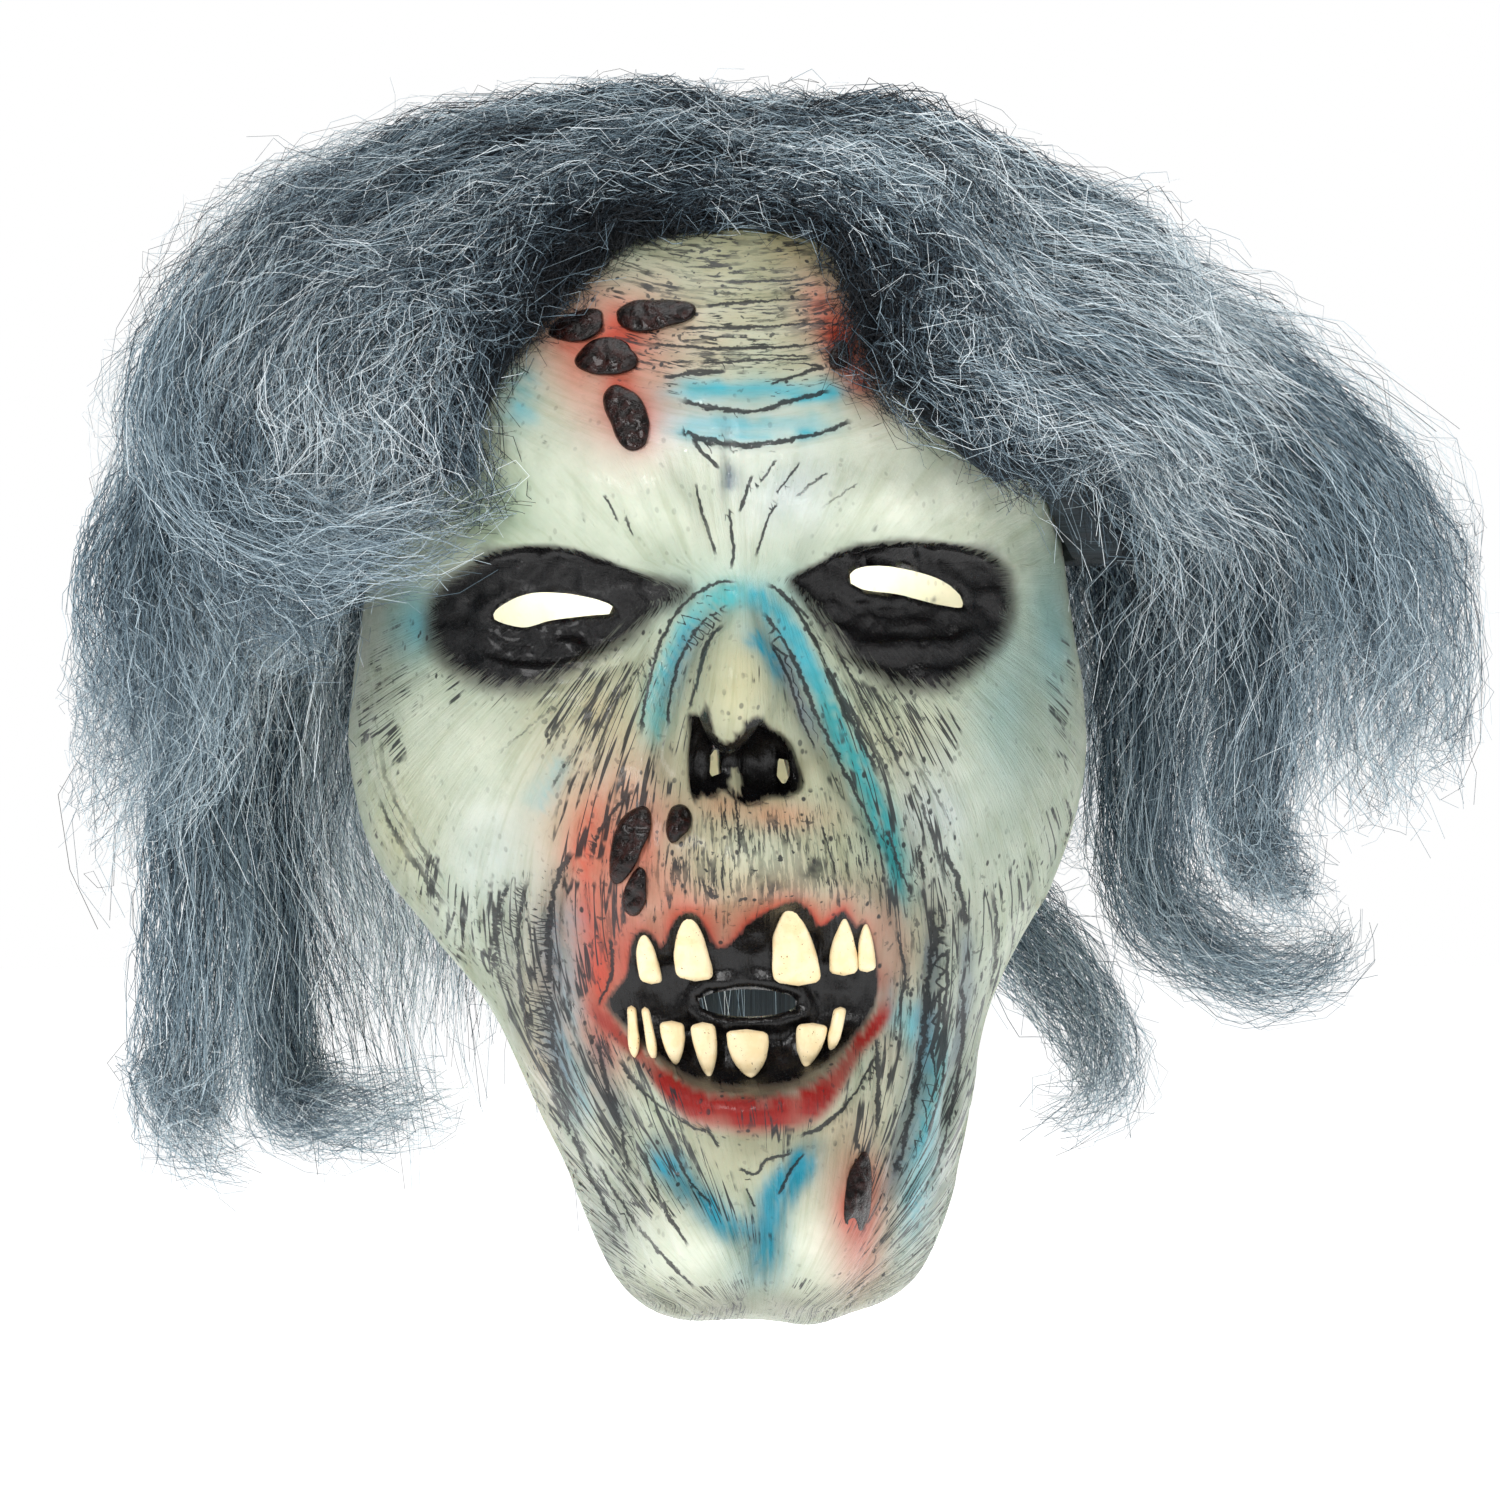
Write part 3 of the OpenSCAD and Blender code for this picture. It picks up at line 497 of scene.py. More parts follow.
# ---- Paint of the casting ----
# Airbrushed patches: x, z, half width, half height, turn, colour, strength. The pale rows on the chin
# lobes, at -14 -163 and 19 -160, are partly pale paint and partly painted highlight; the last three rows
# are painted shade below the lobes, beside the left lobe and in the hollow under the lower lip.
PATCHES = table("""
5 66 36 22 0 186,176,148 0.5
8 90 26 14 0 150,146,112 0.95
1 -60 28 22 0 khaki 0.8
0 -20 22 24 0 khaki 0.35
-40 -100 10 40 0 khaki 0.45
42 -100 10 40 0 khaki 0.4
0 -142 26 10 0 khaki 0.45
4 -176 30 8 0 khaki 0.4
-52 -120 8 30 10 khaki 0.3
-36 27 28 13 -24 pale 0.5
40 24 32 12 4 pale 0.85
-20 36 20 8 0 pale 0.6
22 38 26 7 6 pale 0.6
0 14 12 14 0 pale 0.3
-66 -38 22 24 0 pale 0.35
-60 -56 16 16 0 pale 0.2
62 -40 16 24 -10 pale 0.2
-14 -163 15 13 -10 pale 0.75
19 -160 13 17 10 pale 0.8
8 -42 24 5 0 khaki 0.4
4 -62 12 8 0 pale 0.45
-36 -30 18 15 0 khaki 0.75
38 -36 16 12 0 khaki 0.45
-52 -95 10 30 0 slate 0.22
54 -105 12 40 0 slate 0.25
72 -40 14 30 0 slate 0.15
0 -152 60 8 0 khaki 0.2
4 -80 34 8 0 176,118,92 0.5
-44 -104 8 30 0 176,118,92 0.35
-8 43 22 7 0 lavender 0.5
12 26 12 10 30 lavender 0.45
48 -55 10 16 0 lavender 0.4
-62 -66 14 16 10 lavender 0.3
0 0 20 8 0 150,198,196 0.55
-2.4 -21 7 12 0 184,180,144 0.75
-97 -60 6 8 0 green 0.7
-92 -66 14 22 -30 166,164,130 0.8
-60 24 10 10 0 green 0.35
68 -26 9 22 0 teal 0.25
85 -8 8 20 0 teal 0.45
-82 -6 6 9 0 teal 0.75
3 -170 8 8 0 blue 0.35
-42 -158 13 24 -14 198,206,208 0.45
50 -148 11 30 8 198,206,210 0.4
-33 65 17 14 0 red 0.85
-29 47 10 12 0 red 0.75
27 66 8 16 25 red 0.8
-29 -62 13 19 0 red 0.62
-38 -86 8 26 0 red 0.5
9 -55 10 3.5 0 pink 0.8
-5 -52 8 3 0 pink 0.5
29 -154 8 19 4 red 0.95
-44 -54 10 16 0 pink 0.35
-34 -110 8 14 0 red 0.35
38 -90 6 24 0 136,92,76 0.65
-33 -92 7 22 0 150,60,44 0.6
24 -132 14 12 30 khaki 0.4
2 -180 40 6 0 120,122,106 0.7
-30 -160 5 14 -12 128,134,128 0.5
3 -136 30 6 0 140,134,108 0.6""", 0)
# Airbrushed strokes: radius, colour, strength, points
STROKES = table("""
3 teal 0.9 -19 51 0 51.5 17.5 51 26 52
3 teal 0.9 -17.5 42.5 2 42 23 43
4.5 teal 0.6 -52.5 59 -56 43
2.8 74,178,184 0.95 1 1 -7 -1 -13 -7 -17.5 -16 -20.5 -25 -22.5 -36
2 bright 0.5 -12 -6 -17 -15 -19 -22
2.8 20,140,165 1 1 -10 5 -14 9 -21
2.8 teal 0.95 1 1 7 -3 13 -10 17 -18 21 -27
3.8 52,142,146 1 19 -22 27 -39 33 -51 38 -64 42 -78
4.5 teal 0.45 -42 -74.5 -42.5 -101.5 -39 -135.5
5 teal 0.65 38.5 -101 49 -114.5 48 -134.5 43.5 -164.5
3.8 blue 1 -21 -138 -13 -148 -4.5 -156 4 -160
3.8 blue 1 16.5 -138 10.5 -146 7 -153 6 -170
3 slate 0.6 -47 -79 -47.5 -90 -45.5 -113 -40 -131
3 slate 0.6 50 -84 48.5 -97 47 -114 42 -136 38 -149
2.5 slate 0.5 -35 -110 -33 -122 -29 -134
2.5 slate 0.45 58 -84 60 -100 57 -124
2.5 slate 0.5 -8 -5 -15 -15 -21 -30
2.2 slate 0.6 10 -14 14 -25 20 -37
2.5 slate 0.6 -3 32.5 -3 26
3.5 teal 0.4 -44 -40 -52 -54
3.5 red 0.55 -45.5 68 -34.5 62.5 -24.5 67.5
3.5 red 0.6 -31 56 -26 39
3.5 red 0.6 20 77 28.5 60 33 50
3.5 red 0.5 -35.5 -48.5 -40.5 -66 -36.5 -83.5 -35 -101 -32 -117""", 3)


def linear(colour):
    c = np.array(colour, float) / 255
    return np.where(c <= 0.04045, c / 12.92, ((c + 0.055) / 1.055) ** 2.4)


def cover(colour, level, tone):
    level = level[..., None]
    return colour * (1 - level) + linear(tone) * level


def painted(x, z):
    """Airbrushed colour of each place of the skin, with painted shade along the grooves and painted
    highlight and shade on the chin.
    """
    ragged = 1 + 0.25 * noise(x / 6, z / 9, 31)
    colour = np.tile(linear(COLOURS["base"]), x.shape + (1,))
    for px, pz, rx, rz, turn, tone, strength in PATCHES:
        level = mound(x, z, (px, pz, rx, rz, strength, turn, 1)) * ragged
        colour = cover(colour, np.minimum(level, 1), tone)
    # Painted shade: the paint is darkened along the pressed-in rolls, by up to a third in the deepest
    # grooves
    for height, width, points in ROLLS:
        gap = distance(x, z, curve_points(points, 4))[0]
        colour = colour * (1 + 0.11 * min(height, 0) * bell(gap / (1.2 * width)))[..., None]
    high = smooth(z, 32, 40)
    brushed = noise(onion(x, z) / 1.3, z / 14, 35) * (1 - high)
    brushed = 1 + 0.55 * (brushed + noise(x / 16, (z - 0.006 * x**2) / 1.4, 37) * high)
    for radius, tone, strength, points in STROKES:
        gap, _, share, _ = distance(x, z, curve_points(points, 4))
        gap = gap + 0.9 * noise(x / 3, z / 5, 36)
        level = strength * bell(gap / radius) * ends(share, 6, 0.3)
        colour = cover(colour, np.clip(level * ragged * brushed, 0, 1), tone)
    return lips(x, z, colour, ragged)


def lips(x, z, colour, ragged):
    """Red round the mouth: a gradient above and a crescent below, past a dull band with short strokes."""
    gap = ring_distance(x, z, MOUTH)[0]
    above, below = smooth(z, -104, -94), smooth(-z, 98, 108)
    left = smooth(-x, -5, 25)
    upper = above * np.exp(-np.maximum(gap, 0) / (3.0 + 2.5 * left)) * (0.95 - 0.35 * smooth(x, 22, 34))
    middle = 1 - 0.55 * smooth(np.abs(x - 2), 14, 30)
    strokes = 0.7 * noise(x / 0.8, z / 5, 33)
    near, far = 2.4 * middle + strokes, 14 * middle
    band = below * smooth(gap, near - 0.8, near + 1.4) * smooth(-gap, -far, -0.6 * far)
    dull = below * smooth(-gap, -4.5 * middle, -1.5 * middle)
    for level, tone in ((upper, (176, 52, 36)), (dull, (92, 82, 70)), (band, (138, 20, 13))):
        colour = cover(colour, np.clip(level * ragged, 0, 1), tone)
    return colour


def blackness(x, z):
    """Level of black paint, 0.5 where its edge lies."""
    level = np.zeros(x.shape)
    for ring in (LEFT_SOCKET, RIGHT_SOCKET):
        gap, spot = ring_distance(x, z, ring)
        feather = 14 - 10.5 * smooth(spot[..., 1], 0, 6) * smooth(-np.abs(x), -66, -56)
        level = np.maximum(level, np.clip(0.5 - gap / feather, 0, 1))
    for ring, feather in ((NOSE_HOLLOW, 2.2), (MOUTH, 2.6)):
        level = np.maximum(level, np.clip(0.5 - ring_distance(x, z, ring)[0] / feather, 0, 1))
    ridge = mound(x, z, (-1, -46.5, 1.9, 3.6, 1.3, 0, 2))
    return np.maximum(level - ridge, 0)


def crease_paint(x, z):
    """Distance from the nearest painted crease over its width, signed, and how strongly it shows."""
    best = np.full(x.shape, 9.0)
    signed, strength = np.full(x.shape, 4.0), np.zeros(x.shape)
    for _, width, shade, points in CREASES:
        gap, side, share, _ = distance(x, z, curve_points(points, 4))
        ratio = gap / (0.55 * width)
        closer = ratio < best
        best = np.where(closer, ratio, best)
        signed = np.where(closer, np.clip(side * ratio, -4, 4), signed)
        strength = np.where(closer, shade * ends(share, 6, 0.1) * (ratio < 3.5), strength)
    return signed, strength


# ---- The casting ----
LINING_COLOUR = (226, 221, 200)
OUT_COLUMNS, OUT_ROWS = 312, 240
# Columns crowd towards the face, by this many degrees
CROWDING = 27
# Steps to either side of a place that give the direction of the skin there
U_STEP, V_STEP = 0.012, 0.005


def grid_angles(columns):
    a = np.arange(columns) / columns * 2 * np.pi
    return a - math.radians(CROWDING) * np.sin(a)


def sheet(columns, rows, inset):
    """The crown point, then rows of points of the outer skin, or of the lining where inset is over 0."""
    u, v = np.meshgrid(grid_angles(columns), np.arange(1, rows + 1) / rows)
    x, y, z = skin(u, v)
    du = np.stack(skin(u + U_STEP, v), -1) - np.stack(skin(u - U_STEP, v), -1)
    dv = np.stack(skin(u, v - V_STEP), -1) - np.stack(skin(u, np.minimum(v + V_STEP, 1.0)), -1)
    n = unit(np.cross(du, dv))
    front = smooth(np.cos(u), 0.02, 0.3)
    gum = plateau(x, z, 1.6, -100, 40, 27) * (y < 0)
    push = deep(x, z) * front
    nose = plateau(x, z, 1, -40, 19, 15) * (y < 0)
    if inset:
        push -= NOSE_INSET * nose
        push = push - 0.2 * np.abs(push) - inset - GUM_INSET * gum - FACE_INSET * front
    else:
        calm_rim = 1 - 0.9 * smooth(v, 0.955, 0.99)
        push = push + fine(x, z, front) * calm_rim + 0.25 * noise(u * 12, z / 9, 21) * (1 - front)
    p = np.stack([x, y, z], -1) + n * push[..., None]
    p[..., 2] -= CHIN_DROP * front * smooth(-z, 150, 179)
    crown = np.array([[0, 0, CROWN_H - inset]])
    return np.vstack([crown, p.reshape(-1, 3)])


def grid_faces(columns, rows):
    j, i = np.meshgrid(np.arange(rows - 1), np.arange(columns), indexing="ij")
    a = 1 + j * columns + i
    b = 1 + j * columns + (i + 1) % columns
    quads = np.stack([a, a + columns, b + columns, b], -1).reshape(-1, 4)
    first = np.arange(columns)
    fan = np.stack([np.zeros(columns, int), 1 + first, 1 + (first + 1) % columns], -1)
    return quads, fan


def widened(hole, by):
    """The outline pushed out from its middle."""
    out = hole - hole.mean(0)
    return hole + out / np.linalg.norm(out, axis=1, keepdims=True) * by


def cut_holes(points, quads, by=0.0):
    """Takes out the faces inside the holes and draws the cut edges onto their outlines."""
    keep = np.ones(len(quads), bool)
    middle = points[quads].mean(1)
    for hole in (widened(h, by) for h in HOLES):
        near = (middle[:, 1] < -30) & (np.abs(middle[:, 0] - hole[:, 0].mean()) < 22)
        near &= np.abs(middle[:, 2] - hole[:, 1].mean()) < 16
        spots = np.flatnonzero(near)
        gap, _ = ring_distance(middle[spots, 0], middle[spots, 2], hole)
        keep[spots[gap < 0]] = False
    kept = quads[keep]
    for hole, loop in zip(HOLES, sorted_loops(kept, points)):
        _, spot = ring_distance(points[loop, 0], points[loop, 2], widened(hole, by))
        points[loop, 1] += face_y(spot[:, 0], spot[:, 1]) - face_y(points[loop, 0], points[loop, 2])
        points[loop, 0], points[loop, 2] = spot[:, 0], spot[:, 1]
    return kept


def boundary_loops(quads):
    """Closed loops of edges that belong to one face only."""
    edges = np.vstack([quads[:, [k, (k + 1) % 4]] for k in range(4)])
    key = np.sort(edges, 1)
    _, first, count = np.unique(key, axis=0, return_index=True, return_counts=True)
    follow = {int(a): int(b) for a, b in edges[first[count == 1]]}
    loops = []
    while follow:
        start = next(iter(follow))
        loop = [start]
        after = follow.pop(start)
        while after != start and after in follow:
            loop.append(after)
            after = follow.pop(after)
        loops.append(np.array(loop))
    return loops


def sorted_loops(quads, points):
    """The loop round each hole, in the order of HOLES."""
    loops = boundary_loops(quads)
    found = []
    for hole in HOLES:
        centre = hole.mean(0)
        spread = [np.hypot(*(points[lp][:, [0, 2]].mean(0) - centre)) + 99 * (points[lp][:, 1].mean() > -30)
                  for lp in loops]
        found.append(loops[int(np.argmin(spread))])
    return found


def bridge(a, b, turn_a, turn_b):
    """Triangles between two loops, walked round by angle."""
    ia, ib = np.argsort(turn_a), np.argsort(turn_b)
    a, b, ta, tb = a[ia], b[ib], turn_a[ia], turn_b[ib]
    faces = []
    i = j = 0
    while i < len(a) or j < len(b):
        next_a = ta[i + 1] if i + 1 < len(a) else ta[0] + 7 if i < len(a) else 99
        next_b = tb[j + 1] if j + 1 < len(b) else tb[0] + 7 if j < len(b) else 99
        here_a, here_b = a[i % len(a)], b[j % len(b)]
        if next_a <= next_b:
            faces.append((here_a, a[(i + 1) % len(a)], here_b))
            i += 1
        else:
            faces.append((here_a, b[(j + 1) % len(b)], here_b))
            j += 1
    return faces


def in_scene(name, data):
    obj = bpy.data.objects.new(name, data)
    bpy.context.scene.collection.objects.link(obj)
    return obj


def make_mesh(name, points, faces, smooth_shade=True):
    """New object from points in mm."""
    mesh = bpy.data.meshes.new(name)
    mesh.from_pydata((np.asarray(points) * MM).tolist(), [], faces)
    mesh.validate()
    if smooth_shade:
        mesh.shade_smooth()
    return in_scene(name, mesh)


def attribute(obj, name, kind, values):
    layer = obj.data.attributes.new(name, kind, "POINT")
    values = np.asarray(values, np.float32)
    layer.data.foreach_set({"FLOAT": "value", "FLOAT_VECTOR": "vector", "FLOAT_COLOR": "color"}[kind],
                           values.ravel())


def make_shell():
    outer = sheet(OUT_COLUMNS, OUT_ROWS, 0)
    inner = sheet(OUT_COLUMNS // 2, OUT_ROWS // 2, LINING_INSET)
    outer_quads, outer_fan = grid_faces(OUT_COLUMNS, OUT_ROWS)
    inner_quads, inner_fan = grid_faces(OUT_COLUMNS // 2, OUT_ROWS // 2)
    outer_quads = cut_holes(outer, outer_quads)
    inner_quads = cut_holes(inner, inner_quads, HOLE_GAP)
    base = len(outer)
    points = np.vstack([outer, inner])
    faces = outer_quads.tolist() + outer_fan.tolist()
    faces += (inner_quads[:, ::-1] + base).tolist() + (inner_fan[:, ::-1] + base).tolist()
    for hole, a, b in zip(HOLES, sorted_loops(outer_quads, outer), sorted_loops(inner_quads, inner)):
        cx, cz = hole.mean(0)
        turn_a = np.arctan2(outer[a, 2] - cz, outer[a, 0] - cx)
        turn_b = np.arctan2(inner[b, 2] - cz, inner[b, 0] - cx)
        faces += bridge(a, b + base, turn_a, turn_b)
    a = 1 + (OUT_ROWS - 1) * OUT_COLUMNS + np.arange(OUT_COLUMNS)
    b = 1 + (OUT_ROWS // 2 - 1) * (OUT_COLUMNS // 2) + np.arange(OUT_COLUMNS // 2)
    faces += bridge(a, b + base, grid_angles(OUT_COLUMNS) % 7, grid_angles(OUT_COLUMNS // 2) % 7)
    shell = make_mesh("latex_casting", points, faces)
    paint_shell(shell, outer, len(inner))
    shell.data.materials.append(latex_material())
    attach(shell, BODY)
    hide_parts("latex_shell")


def paint_shell(shell, outer, lining):
    """Per-point paint, the same all over the lining."""
    x, y, z = outer.T
    front = smooth(-y, 0, 45)
    folds, forehead, muzzle, _, mouth, socket = zones(x, z)
    colour = painted(x, z) * front[:, None] + linear(COLOURS["base"]) * (1 - front[:, None])
    black = blackness(x, z) * front
    signed, strength = crease_paint(x, z)
    side = smooth(np.abs(onion(x, z)), 16, 40)
    wash = folds * (0.22 + 0.4 * side * smooth(-z, 30, 80)) + 0.85 * forehead * smooth(z, 44, 60)
    wash += 0.9 * muzzle + 0.03 + 0.4 * np.exp(-((mouth - 3) / 7) ** 2)
    wash += 0.4 * np.exp(-((socket - 4) / 8) ** 2) * smooth(-z, 2, 12) * (1 - calm(x, z))
    wash += 0.4 * mound(x, z, (-38, -32, 12, 12, 1, 0, 1)) + 0.5 * mound(x, z, (36, -34, 13, 12, 1, 0, 1))
    attribute(shell, "paint", "FLOAT_COLOR", np.vstack([
        np.c_[colour, np.ones(len(x))], np.tile(np.append(linear(LINING_COLOUR), 1), (lining, 1))]))
    lines = folds * (0.35 + 0.65 * side)
    for name, level, inside in (
            ("black", black, 0), ("wash", wash * front, 0), ("lines", lines * front, 0),
            ("crease", signed, 4), ("crease_shade", strength * front, 0), ("upper", smooth(z, 30, 42), 0)):
        attribute(shell, name, "FLOAT", np.append(level, np.full(lining, inside)))
    across, down = flow(x, z)
    for name, flows in (("long_flow", (across, down, y)), ("brow_flow", (z - 0.006 * x**2, x, y))):
        attribute(shell, name, "FLOAT_VECTOR", np.vstack([np.stack(flows, -1), np.zeros((lining, 3))]))


# ---- Materials ----

class Recipe:
    """A node material under construction."""

    def __init__(self, name, rough=0.5, **plain):
        self.material = bpy.data.materials.new(name)
        self.material.use_nodes = True
        self.tree = self.material.node_tree
        self.shader = self.tree.nodes["Principled BSDF"]
        self.shader.inputs["Roughness"].default_value = rough
        for key, value in plain.items():
            self.shader.inputs[key.replace("_", " ")].default_value = value

    def put(self, socket, value):
        """Links an output, or sets a value, where a colour of three numbers gets its alpha."""
        if hasattr(value, "is_linked"):
            self.tree.links.new(value, socket)
        elif hasattr(value, "__len__") and len(value) == 3 and len(socket.default_value) == 4:
            socket.default_value = (*value, 1)
        else:
            socket.default_value = value

    def finish(self, **outputs):
        for key, value in outputs.items():
            self.put(self.shader.inputs[key.replace("_", " ")], value)
        return self.material

    def node(self, kind, inputs, output=0, **settings):
        """A new node with its settings and its inputs put in, and one of its outputs."""
        node = self.tree.nodes.new("ShaderNode" + kind)
        for key, value in settings.items():
            setattr(node, key, value)
        for key, value in inputs.items():
            self.put(node.inputs[key], value)
        return node.outputs[output]

    def attr(self, name, output="Fac"):
        return self.node("Attribute", {}, output, attribute_name=name)

    def place(self):
        return self.node("TexCoord", {}, "Object")

    def scaled(self, vector, *scale):
        return self.node("VectorMath", {0: vector, 1: scale}, operation="MULTIPLY")

    def noise(self, vector, scale=1.0, detail=3.0, rough=0.55, warp=0.0):
        return self.node("TexNoise", {"Vector": vector, "Scale": scale, "Detail": detail,
                                      "Roughness": rough, "Distortion": warp}, "Fac")

    def cells(self, vector, scale):
        return self.node("TexVoronoi", {"Vector": vector, "Scale": scale}, "Distance")

    def math(self, operation, a, b=0.0, clamp=False):
        return self.node("Math", {0: a, 1: b}, operation=operation, use_clamp=clamp)

    def mul(self, a, b):
        return self.math("MULTIPLY", a, b)

    def add(self, a, b):
        return self.math("ADD", a, b)

    def sub(self, a, b):
        return self.math("SUBTRACT", a, b)

    def step(self, value, low, high, out_low=0.0, out_high=1.0):
        return self.node("MapRange", {"Value": value, "From Min": low, "From Max": high, "To Min": out_low,
                                      "To Max": out_high}, "Result", interpolation_type="SMOOTHSTEP")

    def mix(self, share, a, b, mode="MIX"):
        return self.node("Mix", {0: share, 6: a, 7: b}, 2, data_type="RGBA", blend_type=mode)

    def tones(self, pattern, low, high, dark, light):
        return self.mix(self.step(pattern, low, high), linear(dark), linear(light))

    def bump(self, height, strength, reach, normal=None):
        inputs = {"Strength": strength, "Distance": reach, "Height": height}
        if normal is not None:
            inputs["Normal"] = normal
        return self.node("Bump", inputs, "Normal")


def latex_material():
    r = Recipe("painted_latex", 0.4, Specular_IOR_Level=0.26, Coat_Weight=0.08, Coat_Roughness=0.08,
               Subsurface_Weight=0.08, Subsurface_Scale=0.004)
    place = r.place()
    long_flow, brow_flow = r.attr("long_flow", "Vector"), r.attr("brow_flow", "Vector")
    upper, wash, black = r.attr("upper"), r.attr("wash"), r.attr("black")

    def flowing(across, along_it, detail, rough):
        low = r.noise(r.scaled(long_flow, 1 / across, 1 / along_it, 0.02), 1, detail, rough, 0.3)
        high = r.noise(r.scaled(brow_flow, 1 / across, 1 / along_it, 0.02), 1, detail, rough, 0.3)
        return r.mix(upper, low, high)

    broad = flowing(2.6, 26, 4, 0.6)
    thin = flowing(0.95, 6.5, 4, 0.62)
    grain = r.noise(place, 900, 3, 0.6)
    mottle = r.noise(place, 60, 4, 0.6)
    speck = r.noise(place, 420, 2, 0.5)
    # Dry-brushed dark wash, thicker where the wash is denser
    limit = r.sub(0.76, r.mul(wash, 0.27))
    over = r.sub(thin, limit)
    streak = r.step(over, 0.0, 0.035)
    halo = r.step(over, -0.08, 0.03, 0.0, 0.45)
    patchy = r.step(r.noise(place, 110, 3, 0.6), 0.38, 0.62)
    streak = r.mul(streak, r.add(0.25, r.mul(patchy, 0.75)))
    # Long wrinkle lines that follow the folds
    path = flowing(3.2, 42, 2, 0.5)
    vein = r.step(r.math("ABSOLUTE", r.sub(path, 0.5)), 0.04, 0.018)
    lines = r.add(r.noise(place, 80, 3, 0.6), r.mul(r.attr("lines"), 0.3))
    vein = r.mul(vein, r.step(lines, 0.66, 0.76))
    streak = r.math("MAXIMUM", streak, vein)
    # Creases, ragged and broken
    shake = r.add(r.mul(grain, 2.2), r.mul(r.noise(place, 260, 2, 0.5), 3.0))
    wobble = r.math("ABSOLUTE", r.add(r.attr("crease"), r.sub(shake, 2.6)))
    line = r.step(r.add(wobble, r.mul(r.sub(mottle, 0.5), 2.2)), 1.1, 0.5)
    broken = r.step(r.add(r.attr("crease_shade"), r.mul(mottle, 0.9)), 0.75, 1.1)
    line = r.mul(line, broken)
    dots = r.step(r.cells(r.scaled(place, 1, 1, 0.7), 330), 0.24, 0.14)
    dots = r.mul(dots, r.step(r.noise(place, 90, 2, 0.5), 0.46, 0.56))
    spots = r.math("MAXIMUM", r.mul(r.step(speck, 0.64, 0.70), wash),
                   r.mul(dots, r.step(wash, 0.1, 0.4, 0.25, 1.0)))
    dark = r.math("MAXIMUM", r.math("MAXIMUM", streak, line), spots, True)
    colour = r.mix(r.step(mottle, 0.3, 0.75), r.attr("paint", "Color"), (0.80, 0.83, 0.80), "MULTIPLY")
    colour = r.mix(r.step(broad, 0.45, 0.7, 0.0, 0.35), colour, (0.62, 0.64, 0.50), "MULTIPLY")
    colour = r.mix(halo, colour, (0.60, 0.65, 0.64), "MULTIPLY")
    colour = r.mix(r.mul(dark, 0.92), colour, linear((30, 32, 36)))
    soft = r.step(r.add(black, r.mul(r.sub(mottle, 0.5), 0.3)), 0.1, 0.5, 0, 0.8)
    colour = r.mix(soft, colour, linear((46, 42, 40)))
    feather = r.add(black, r.mul(r.sub(thin, 0.5), 0.95))
    covered = r.step(feather, 0.42, 0.58)
    colour = r.mix(covered, colour, linear((13, 12, 13)))
    rough = r.step(mottle, 0.3, 0.7, 0.36, 0.5)
    rough = r.mix(covered, rough, r.step(grain, 0.3, 0.7, 0.14, 0.34))
    folds = r.bump(thin, 0.45, 0.0009)
    height = r.sub(r.mul(grain, 0.5), r.mul(line, 0.8))
    return r.finish(Base_Color=colour, Roughness=rough, Normal=r.bump(height, 0.4, 0.0005, folds))


def tooth_material():
    r = Recipe("tooth_enamel", 0.35, Specular_IOR_Level=0.4, Coat_Weight=0.1, Coat_Roughness=0.2)
    place = r.place()
    stain = r.noise(r.scaled(place, 900, 900, 160), 1, 3, 0.6)
    cloud = r.noise(place, 260, 3, 0.6)
    colour = r.tones(cloud, 0.35, 0.7, (240, 222, 182), (232, 208, 160))
    colour = r.mix(r.step(stain, 0.55, 0.8, 0, 0.35), colour, linear((220, 186, 128)))
    speck = r.step(r.noise(place, 1500, 2, 0.5), 0.68, 0.74)
    colour = r.mix(speck, colour, linear((120, 84, 48)))
    return r.finish(Base_Color=colour, Roughness=r.step(cloud, 0.3, 0.7, 0.26, 0.42),
                    Normal=r.bump(stain, 0.3, 0.0004))


def scab_material():
    r = Recipe("dried_scab", 0.2, Specular_IOR_Level=0.22, Coat_Weight=0.12, Coat_Roughness=0.06)
    place = r.place()
    lumps = r.noise(place, 420, 4, 0.6)
    colour = r.tones(lumps, 0.4, 0.66, (9, 4, 3), (38, 12, 8))
    height = r.add(lumps, r.mul(r.noise(place, 1500, 3, 0.6), 0.2))
    return r.finish(Base_Color=colour, Roughness=r.step(lumps, 0.35, 0.7, 0.12, 0.34),
                    Normal=r.bump(height, 0.8, 0.0011))


def track_material():
    r = Recipe("woven_track", 0.8)
    place = r.place()
    weave = r.noise(r.scaled(place, 500, 2600, 500), 1, 2, 0.5)
    colour = r.tones(weave, 0.4, 0.6, (34, 40, 46), (76, 86, 94))
    return r.finish(Base_Color=colour, Roughness=r.step(weave, 0.4, 0.6, 0.7, 0.9),
                    Normal=r.bump(weave, 0.6, 0.0005))


def undercoat_material():
    r = Recipe("hair_undercoat", 0.6)
    flow = r.attr("strand_flow", "Vector")
    lock = r.noise(r.scaled(flow, 0.5, 0.03, 0.1), 1, 4, 0.6, 0.4)
    strand = r.noise(r.scaled(flow, 3.2, 0.05, 0.3), 1, 4, 0.65, 0.4)
    # Painted shade: the mat's dark tones stand for the shade deep in the hair, darker still between the
    # locks
    colour = r.tones(strand, 0.35, 0.68, (18, 27, 33), (62, 76, 84))
    colour = r.mix(r.step(lock, 0.3, 0.6, 0.6, 0.0), colour, linear((16, 24, 30)))
    return r.finish(Base_Color=colour, Roughness=r.step(strand, 0.3, 0.7, 0.5, 0.8),
                    Normal=r.bump(strand, 0.8, 0.002))


